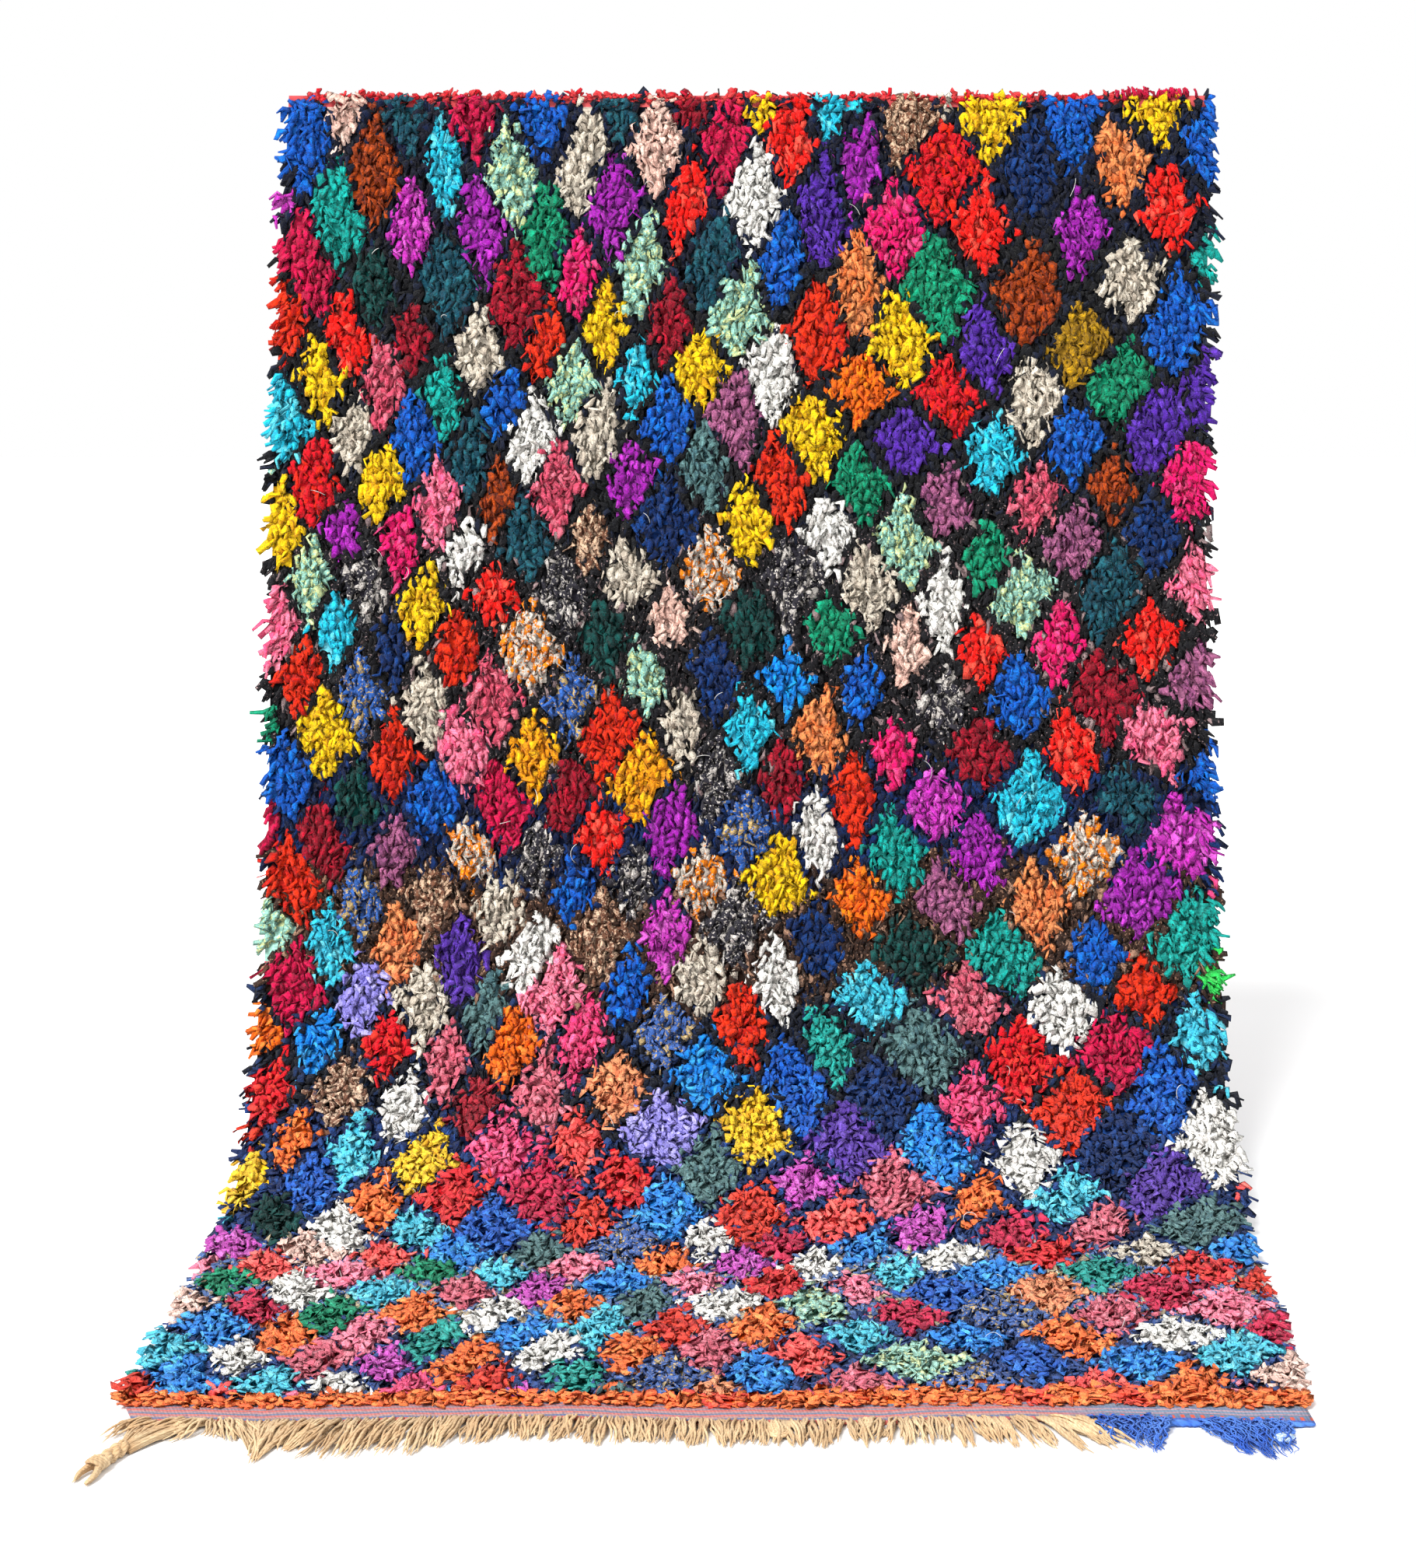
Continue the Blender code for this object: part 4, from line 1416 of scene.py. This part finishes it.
@dataclass
class BeigeFringe:
    """The warp ends along the front edge: two layers of tapered beige yarns in pointed locks.

    The table gives, at places along the edge, how far the tips lean and how long the yarns are. Each
    loop has its place, half its width, and its length.
    """

    drape: Drape
    places: tuple[float, ...] = (
        -0.713, -0.694, -0.670, -0.646, -0.627, -0.604, -0.551, -0.484, -0.398, -0.341, -0.265,
        -0.122, -0.026, 0.031, 0.165, 0.270, 0.317, 0.365, 0.399,
    )
    leans: tuple[float, ...] = (
        -0.050, -0.040, 0.000, 0.035, 0.030, -0.005, -0.030, -0.025, -0.020, -0.014, -0.008,
        0.000, 0.004, 0.000, -0.006, 0.008, 0.025, 0.040, 0.050,
    )
    lengths: tuple[float, ...] = (
        0.045, 0.050, 0.050, 0.060, 0.088, 0.100, 0.092, 0.092, 0.082, 0.060, 0.058,
        0.060, 0.066, 0.060, 0.058, 0.065, 0.074, 0.084, 0.092,
    )
    loops: tuple[tuple[float, float, float], ...] = ((-0.716, 0.014, 0.040), (0.012, 0.020, 0.048))
    loop_yarns: int = 7
    yarns: int = 800
    lock_width: float = 0.015
    gathering: float = 0.34
    under_edge: float = 0.006
    cut: YarnCut = YarnCut(radius=0.0020, rings=9, sides=4, curl=0.0022, turns=1.2, lift=0.010)
    seed: int = 31

    def build(self) -> Piece:
        """Builds the yarns and the two looped locks in one mesh.

        Returns:
            The fringe.
        """
        chance = np.random.default_rng(self.seed)
        x = np.linspace(self.places[0], self.places[-1], self.yarns) + chance.normal(size=self.yarns) * 0.002
        edge = self.drape.front_y(x)
        number = np.floor(x / self.lock_width + 0.35 * np.sin(x * 60.0)).astype(int)
        own = np.random.default_rng(self.seed + 1).uniform(-1.0, 1.0, (400, 3))[number % 400]
        middle = (number + 0.5) * self.lock_width
        lean = np.interp(x, self.places, self.leans) + own[:, 0] * 0.010
        lean += chance.normal(size=self.yarns) * 0.003
        length = np.interp(x, self.places, self.lengths) * (1.0 + 0.16 * own[:, 1])
        length *= chance.uniform(0.62, 1.06, self.yarns)
        tip_x = x + (middle - x) * self.gathering * (1.0 + 0.6 * own[:, 2]) + lean
        root, tip = np.column_stack([x, edge + self.under_edge]), np.column_stack([tip_x, edge - length])
        points = self.cut.lay(root, tip, self.drape.floor, chance)
        points = np.concatenate([points, self.looped(chance)])
        piece = tubes("beige_fringe_yarns", points, tone=chance.uniform(0.80, 1.10, len(points)))
        return dress(piece, Part.BEIGE, BEIGE_WOOL.material())

    def looped(self, chance: Chance) -> Array:
        """Bends two locks back on themselves, as uncut warps lie.

        Args:
            chance: Where the small chances come from.

        Returns:
            Yarns by rings by sides by coordinates.
        """
        turn = math.pi * np.linspace(0.0, 1.0, self.cut.rings)
        paths = []
        for x, half, depth in self.loops:
            for yarn in range(self.loop_yarns):
                size = 1.0 - 0.09 * yarn
                flat_x = x - half * size * np.cos(turn) + 0.010 * np.sin(turn)
                flat_y = self.drape.front_y(x) + 0.004 - depth * size * np.sin(turn) ** 0.7
                z = self.drape.floor + 0.0060 + 0.0007 * yarn * np.sin(turn)
                paths.append(np.column_stack([flat_x, flat_y, z]))
        path = np.array(paths)
        half = np.full(path.shape[:2], self.cut.radius)
        crumple = chance.uniform(0.9, 1.1, (*path.shape[:2], self.cut.sides))
        return around(path, UP, half, half, crumple, self.drape.floor + YARN_GAP)


class Clump(NamedTuple):
    """A clump of fringe strands that draw together at their tips."""

    left: float
    right: float
    strands: int
    lean: float
    length: float


@dataclass
class BlueFringe:
    """The blue wool at the right: a flat cord along the edge, curly clumps, and a pale rag by the last clump.
    """

    drape: Drape
    clumps: tuple[Clump, ...] = (
        Clump(0.403, 0.431, 6, 0.008, 0.048),
        Clump(0.433, 0.457, 5, 0.010, 0.060),
        Clump(0.468, 0.500, 7, -0.012, 0.070),
        Clump(0.538, 0.572, 7, 0.028, 0.074),
        Clump(0.573, 0.605, 7, 0.020, 0.088),
        Clump(0.608, 0.643, 6, 0.006, 0.076),
    )
    yarns_a_strand: int = 6
    gathering: float = 0.80
    under_edge: float = 0.004
    cut: YarnCut = YarnCut(radius=0.0013, rings=18, sides=3, curl=0.0042, turns=4.0, lift=0.014)
    cord_ends: tuple[float, float] = (0.4040, 0.6780)
    cord_rings: int = 60
    cord_width: float = 0.0060
    cord_height: float = 0.0032
    rag_place: tuple[float, float] = (0.630, 0.052)
    rag_points: tuple[int, int] = (7, 10)
    seed: int = 32

    def build(self) -> list[Piece]:
        """Builds the yarns, the cord and the pale rag.

        Returns:
            The pieces.
        """
        wool = BLUE_WOOL.material()
        yarns = dress(self.curls(), Part.BLUE, wool)
        cord = dress(self.cord(), Part.BLUE, wool)
        return [yarns, cord, dress(self.pale_rag(), Part.BLUE, RagFinish().material())]

    def curls(self) -> Piece:
        """Builds the curly clumps in one mesh.

        Returns:
            The piece.
        """
        chance = np.random.default_rng(self.seed)
        roots, tips = [], []
        for clump in self.clumps:
            count = clump.strands * self.yarns_a_strand
            middle = (clump.left + clump.right) / 2
            x = np.linspace(clump.left - 0.004, clump.right + 0.004, count)
            x += chance.normal(size=count) * 0.0015
            reach = chance.uniform(0.40, 1.10, count)
            end_x = x + ((middle - x) * self.gathering + clump.lean) * reach
            end_x += chance.normal(size=count) * 0.003
            edge = self.drape.front_y(x)
            roots.append(np.column_stack([x, edge + self.under_edge]))
            tips.append(np.column_stack([end_x, edge - (clump.length + 0.010) * reach]))
        points = self.cut.lay(np.concatenate(roots), np.concatenate(tips), self.drape.floor, chance)
        return tubes("blue_fringe_yarns", points, tone=chance.uniform(0.75, 1.15, len(points)))

    def cord(self) -> Piece:
        """Lays the flat cord along the edge, three strands side by side.

        Returns:
            The piece.
        """
        t = np.linspace(0.0, 1.0, self.cord_rings)
        x = self.cord_ends[0] + (self.cord_ends[1] - self.cord_ends[0]) * t
        narrowing = np.interp(t, [0.0, 0.85, 1.0], [1.0, 1.0, 0.4])
        paths = []
        for strand in range(3):
            turn = t * 40.0 + math.tau * strand / 3
            y = self.drape.front_y(x) - 0.0035 + self.cord_width * 0.55 * np.cos(turn) * narrowing
            z = self.drape.floor + self.cord_height + 0.0009 + 0.0009 * np.sin(turn)
            paths.append(np.column_stack([x, y, z]))
        radius = self.cord_height * narrowing
        return wind("blue_cord", np.array(paths), radius, 6, self.drape.floor, self.seed + 1)

    def pale_rag(self) -> Piece:
        """Puts the pale rag by the last clump, without the loop of wool that holds it.

        Returns:
            The piece.
        """
        rings, sides = self.rag_points
        x, front = self.rag_place
        t = np.linspace(0.0, 1.0, rings)
        y, z = self.drape.front_y(x) - front + 0.008 * t, np.full(rings, self.drape.floor + 0.0065)
        path = np.column_stack([x - 0.010 + 0.024 * t, y, z])[None]
        swell = np.sin(math.pi * (0.12 + 0.76 * t))[None]
        crumple = np.random.default_rng(self.seed + 2).uniform(0.75, 1.25, (1, rings, sides))
        lowest = self.drape.floor + YARN_GAP
        points = around(path, np.array([[0.3, 1.0, 0.0]]), 0.012 * swell, 0.005 * swell, crumple, lowest)
        colour, partner = linear([PALE_RAG.colour, PALE_RAG.partner])
        fleck, tone = np.array([PALE_RAG.fleck]), np.ones(1)
        return tubes("pale_rag", points, rag=colour[None], partner=partner[None], fleck=fleck, tone=tone)


@dataclass
class StrayThreads:
    """Thin pale threads that have worked loose and lie over the pile."""

    drape: Drape
    count: int = 50
    rings: int = 12
    sides: int = 3
    radius: float = 0.0005
    cloth_width: float = 1.46
    seed: int = 77

    def build(self) -> Piece:
        """Builds every thread in one mesh.

        Returns:
            The piece.
        """
        chance = np.random.default_rng(self.seed)
        one = (self.count, 1)
        t = np.linspace(0.0, 1.0, self.rings)[None, :]
        share = chance.uniform(0.03, 0.97, self.count)
        along = chance.uniform(0.08, 2.30, self.count)
        heading = chance.uniform(0.0, math.tau, one)
        turn = heading + chance.normal(size=one) * 1.4 * t
        step = chance.uniform(0.014, 0.040, one) / self.rings
        across = np.cumsum(np.cos(turn) * step, axis=1) / self.cloth_width
        all_share = np.clip(share[:, None] + across, 0.01, 0.99)
        all_along = along[:, None] + np.cumsum(np.sin(turn) * step, axis=1)
        height = chance.uniform(0.014, 0.021, one) * np.sin(math.pi * (0.15 + 0.75 * t)) ** 0.5
        out = self.drape.directions(all_along)[1] * height[..., None]
        path = self.drape.back(all_share, all_along) + out
        piece = wind("stray_threads", path, self.radius, self.sides, self.drape.floor, self.seed)
        return dress(piece, Part.RUG, PALE_THREAD.material())


class Station(NamedTuple):
    """A place along the corner braid."""

    front: float
    x: float
    half_width: float
    height: float


@dataclass
class CornerBraid:
    """Warp ends gathered at the left front corner, plaited, knotted and left with two tails."""

    drape: Drape
    under_edge: float = 0.004
    sheaf_root: tuple[float, float] = (-0.770, -0.655)
    sheaf_yarns: int = 66
    sheaf_rings: int = 12
    yarn_radius: float = 0.0016
    spikes: int = 16
    spike_root: tuple[float, float] = (-0.772, -0.738)
    spike_limit: float = -0.803
    spike_cut: YarnCut = YarnCut(radius=0.0017, rings=9, sides=4, curl=0.0015, turns=0.8, lift=0.010)
    neck: Station = Station(0.084, -0.762, 0.008, 0.013)
    knot: Station = Station(0.130, -0.784, 0.014, 0.020)
    plait_rings: int = 30
    plait_yarns: int = 6
    plait_radius: float = 0.0021
    plait_swing: float = 0.0054
    plait_height: float = 0.0078
    strand_radius: float = 0.0026
    knot_wraps: int = 4
    knot_radius: float = 0.0029
    knot_height: float = 0.0102
    ring_radii: tuple[float, float] = (0.0092, 0.0070)
    tail_ends: tuple[tuple[float, float], ...] = ((0.168, -0.806), (0.178, -0.790))
    tail_rings: int = 10
    tail_yarns: int = 12
    tail_height: float = 0.0018
    seed: int = 3

    def flat(self, station: Station, further: float = 0.0) -> Array:
        """Gives a station's place on the floor, or a place further in front of it."""
        return np.array([station.x, self.drape.front_y(self.neck.x) - (station.front + further)])

    def sheaf(self) -> Piece:
        """Draws the warp ends together from the cloth's edge to the neck of the plait.

        Returns:
            The piece.
        """
        chance = np.random.default_rng(self.seed + 1)
        count, one = self.sheaf_yarns, (self.sheaf_yarns, 1)
        t = np.linspace(0.0, 1.0, self.sheaf_rings)[None, :]
        root_x = np.linspace(*self.sheaf_root, count)[:, None]
        root_y = self.drape.front_y(root_x[:, 0])[:, None] + self.under_edge
        turn = np.linspace(-1.0, 1.0, count)[:, None]
        end_x = self.neck.x + turn * self.neck.half_width * 0.75
        end_y = self.flat(self.neck)[1] - turn * 0.004
        wobble = chance.normal(size=one) * 0.0028 * np.sin(math.pi * t)
        x = root_x + (end_x - root_x) * t**0.85 + wobble
        y = root_y + (end_y - root_y) * t ** (1.0 + 0.35 * turn) + wobble * 0.5
        inner = np.sqrt(np.clip(1 - turn**2, 0, 1))
        heap = (self.neck.height - 0.004) * t**0.8 * inner * chance.uniform(0.2, 1, one)
        arch = 0.005 * np.sin(math.pi * t) * chance.uniform(size=one)
        path = np.stack([x, y, self.drape.floor + self.yarn_radius + REST_GAP + heap + arch], axis=-1)
        return wind("braid_sheaf", path, self.yarn_radius, 4, self.drape.floor, self.seed)

    def spiky_ends(self) -> Piece:
        """Lays the short loose ends out to the left of the sheaf.

        Returns:
            The piece.
        """
        chance = np.random.default_rng(self.seed + 5)
        count = self.spikes
        x = np.linspace(*self.spike_root, count)
        edge = self.drape.front_y(x)
        tip_x = x - chance.uniform(0.018, 0.042, count) * np.linspace(0.7, 1.3, count)
        tip_x, tip_y = np.maximum(tip_x, self.spike_limit), edge - chance.uniform(0.006, 0.066, count)
        root, tip = np.column_stack([x, edge + self.under_edge]), np.column_stack([tip_x, tip_y])
        points = self.spike_cut.lay(root, tip, self.drape.floor, chance)
        return tubes("braid_loose_ends", points, tone=chance.uniform(0.85, 1.1, count))

    def plait(self) -> Piece:
        """Plaits three bundles of yarns from the neck to the knot.

        Returns:
            The piece.
        """
        t = np.linspace(0.0, 1.0, self.plait_rings)
        start, end = self.flat(self.neck, -0.006), self.flat(self.knot)
        line = start + (end - start) * t[:, None]
        heading = (end - start) / np.linalg.norm(end - start)
        normal = np.array([-heading[1], heading[0]])
        paths = []
        for strand in range(3):
            phase = math.tau * (1.1 * t + strand / 3)
            swing = self.plait_swing * np.sin(phase)
            rise = self.plait_height + 0.0036 * np.sin(2 * phase)
            for yarn in range(self.plait_yarns):
                turn = math.tau * (yarn / self.plait_yarns + 1.2 * t)
                flat = line + normal * (swing + self.strand_radius * np.cos(turn))[:, None]
                z = self.drape.floor + rise + self.strand_radius * np.sin(turn)
                paths.append(np.column_stack([flat, z]))
        return wind("braid_plait", np.array(paths), self.plait_radius, 5, self.drape.floor, self.seed)

    def tie(self) -> Piece:
        """Wraps the knot round the end of the plait.

        Returns:
            The piece.
        """
        t = np.linspace(0.0, 1.0, self.plait_rings)
        centre = np.append(self.flat(self.knot, 0.004), self.drape.floor + self.knot_height)
        heading = centre[:2] - self.flat(self.neck)
        heading /= np.linalg.norm(heading)
        across, ahead = np.array([-heading[1], heading[0], 0.0]), np.append(heading, 0.0)
        wide, high = self.ring_radii
        paths = []
        for wrap in range(self.knot_wraps):
            turn = math.tau * (1.15 * t + wrap / self.knot_wraps)
            shift = ahead * (0.0045 * (wrap - 1.5) + 0.005 * np.sin(turn))[:, None]
            ring = across * (wide * np.cos(turn))[:, None] + UP * (high * np.sin(turn))[:, None]
            paths.append(centre + shift + ring)
        return wind("braid_knot", np.array(paths), self.knot_radius, 6, self.drape.floor, self.seed)

    def tails(self) -> Piece:
        """Lays the two tails out beyond the knot.

        Returns:
            The piece.
        """
        chance = np.random.default_rng(self.seed + 2)
        t = np.linspace(0.0, 1.0, self.tail_rings)
        edge, low = self.drape.front_y(self.neck.x), self.tail_height
        paths = []
        for sway, (front, x) in zip((-0.005, 0.005), self.tail_ends):
            for yarn in range(self.tail_yarns):
                turn = math.tau * yarn / self.tail_yarns
                side = 0.0030 * math.cos(turn)
                reach = chance.uniform(0.82, 1.03)
                flat_x = self.knot.x + (x - self.knot.x) * t * reach + side * (1.0 - 0.45 * t)
                flat_x = flat_x + sway * np.sin(math.pi * t)
                flat_y = edge - (self.knot.front + (front - self.knot.front) * t * reach)
                lift = 0.0080 + 0.0030 * math.sin(turn)
                z = self.drape.floor + low + (lift - low) * (1 - t) ** 1.2 + low * (1 + math.sin(turn))
                paths.append(np.column_stack([flat_x, flat_y, z]))
        radius = np.interp(t, [0.0, 0.7, 1.0], [0.0019, 0.0018, 0.0009])
        return wind("braid_tails", np.array(paths), radius, 4, self.drape.floor, self.seed)

    def build(self) -> list[Piece]:
        """Builds the sheaf, loose ends, plait, knot and tails, and dresses them."""
        pieces = (self.sheaf(), self.spiky_ends(), self.plait(), self.tie(), self.tails())
        return [dress(piece, Part.BRAID, BEIGE_WOOL.material()) for piece in pieces]


@dataclass
class Studio:
    """The pale floor, the soft light and the camera at eye height."""

    drape: Drape
    focal_px: float = 3726.0
    frame_height_px: float = 2016.0
    sensor: float = 36.0
    eye_height: float = 1.452
    distance: float = 4.605
    sideways: float = -0.064
    tilt: float = math.radians(7.5)
    shift: float = -0.110
    key_power: float = 4.5
    key_spread: float = math.radians(24.0)
    key_turn: tuple[float, float, float] = (math.radians(44.0), 0.0, math.radians(-36.0))
    ambient: float = 1.08
    floor_reach: float = 14.0
    floor_gap: float = 0.0004

    def camera(self) -> None:
        """Sets the camera at the viewer's eye, tilted a little down."""
        data = bpy.data.cameras.new("eye")
        data.sensor_width = self.sensor
        data.lens = self.focal_px / self.frame_height_px * self.sensor
        data.shift_y = self.shift
        camera = place("eye", data)
        camera.location = (self.sideways, -self.distance, self.drape.floor + self.eye_height)
        camera.rotation_euler = (math.pi / 2 - self.tilt, 0.0, 0.0)
        bpy.context.scene.camera = camera

    def sun(self) -> None:
        """Hangs one broad, even light over the viewer's left shoulder."""
        data = bpy.data.lights.new("key", "SUN")
        data.energy = self.key_power
        data.angle = self.key_spread
        place("key", data).rotation_euler = self.key_turn

    def world(self) -> None:
        """Lights the studio evenly, and shows white behind the rug."""
        world = bpy.data.worlds.new("studio")
        world.use_nodes = True
        tree = world.node_tree
        background = tree.nodes["Background"]
        background.inputs["Color"].default_value = (1.0, 1.0, 1.0, 1.0)
        rays = tree.nodes.new("ShaderNodeLightPath")
        power = tree.nodes.new("ShaderNodeMapRange")
        power.inputs["To Min"].default_value = self.ambient
        power.inputs["To Max"].default_value = 1.0
        tree.links.new(rays.outputs["Is Camera Ray"], power.inputs["Value"])
        tree.links.new(power.outputs["Result"], background.inputs["Strength"])
        bpy.context.scene.world = world

    def build(self) -> None:
        """Sets up the floor, the backdrop's light, the sun and the camera."""
        mesh = bpy.data.meshes.new("studio_floor")
        level = self.drape.floor - self.floor_gap
        around_rug = ((-1, -1), (1, -1), (1, 1), (-1, 1))
        corners = [(self.floor_reach * x, self.floor_reach * y, level) for x, y in around_rug]
        mesh.from_pydata(corners, [], [(0, 1, 2, 3)])
        floor = place("studio_floor", mesh)
        mesh.materials.append(FloorFinish().material())
        bpy.context.scene.view_settings.view_transform = "Standard"
        self.world()
        self.sun()
        self.camera()
        LOG.info("studio set")


def main() -> None:
    """Builds and dresses the rug, piece by piece."""
    logging.basicConfig(level=logging.INFO, format="%(name)s: %(message)s")
    drape, lozenges = Drape(), Lozenges()
    ground = WovenGround(drape, lozenges)
    ground.build()
    pieces = [*RagPile(drape, lozenges).build(), TopTufts(drape).build(), StrayThreads(drape).build()]
    pieces += [BeigeFringe(drape).build(), *BlueFringe(drape).build(), *CornerBraid(drape).build()]
    Studio(drape).build()


if __name__ == "__main__":
    main()
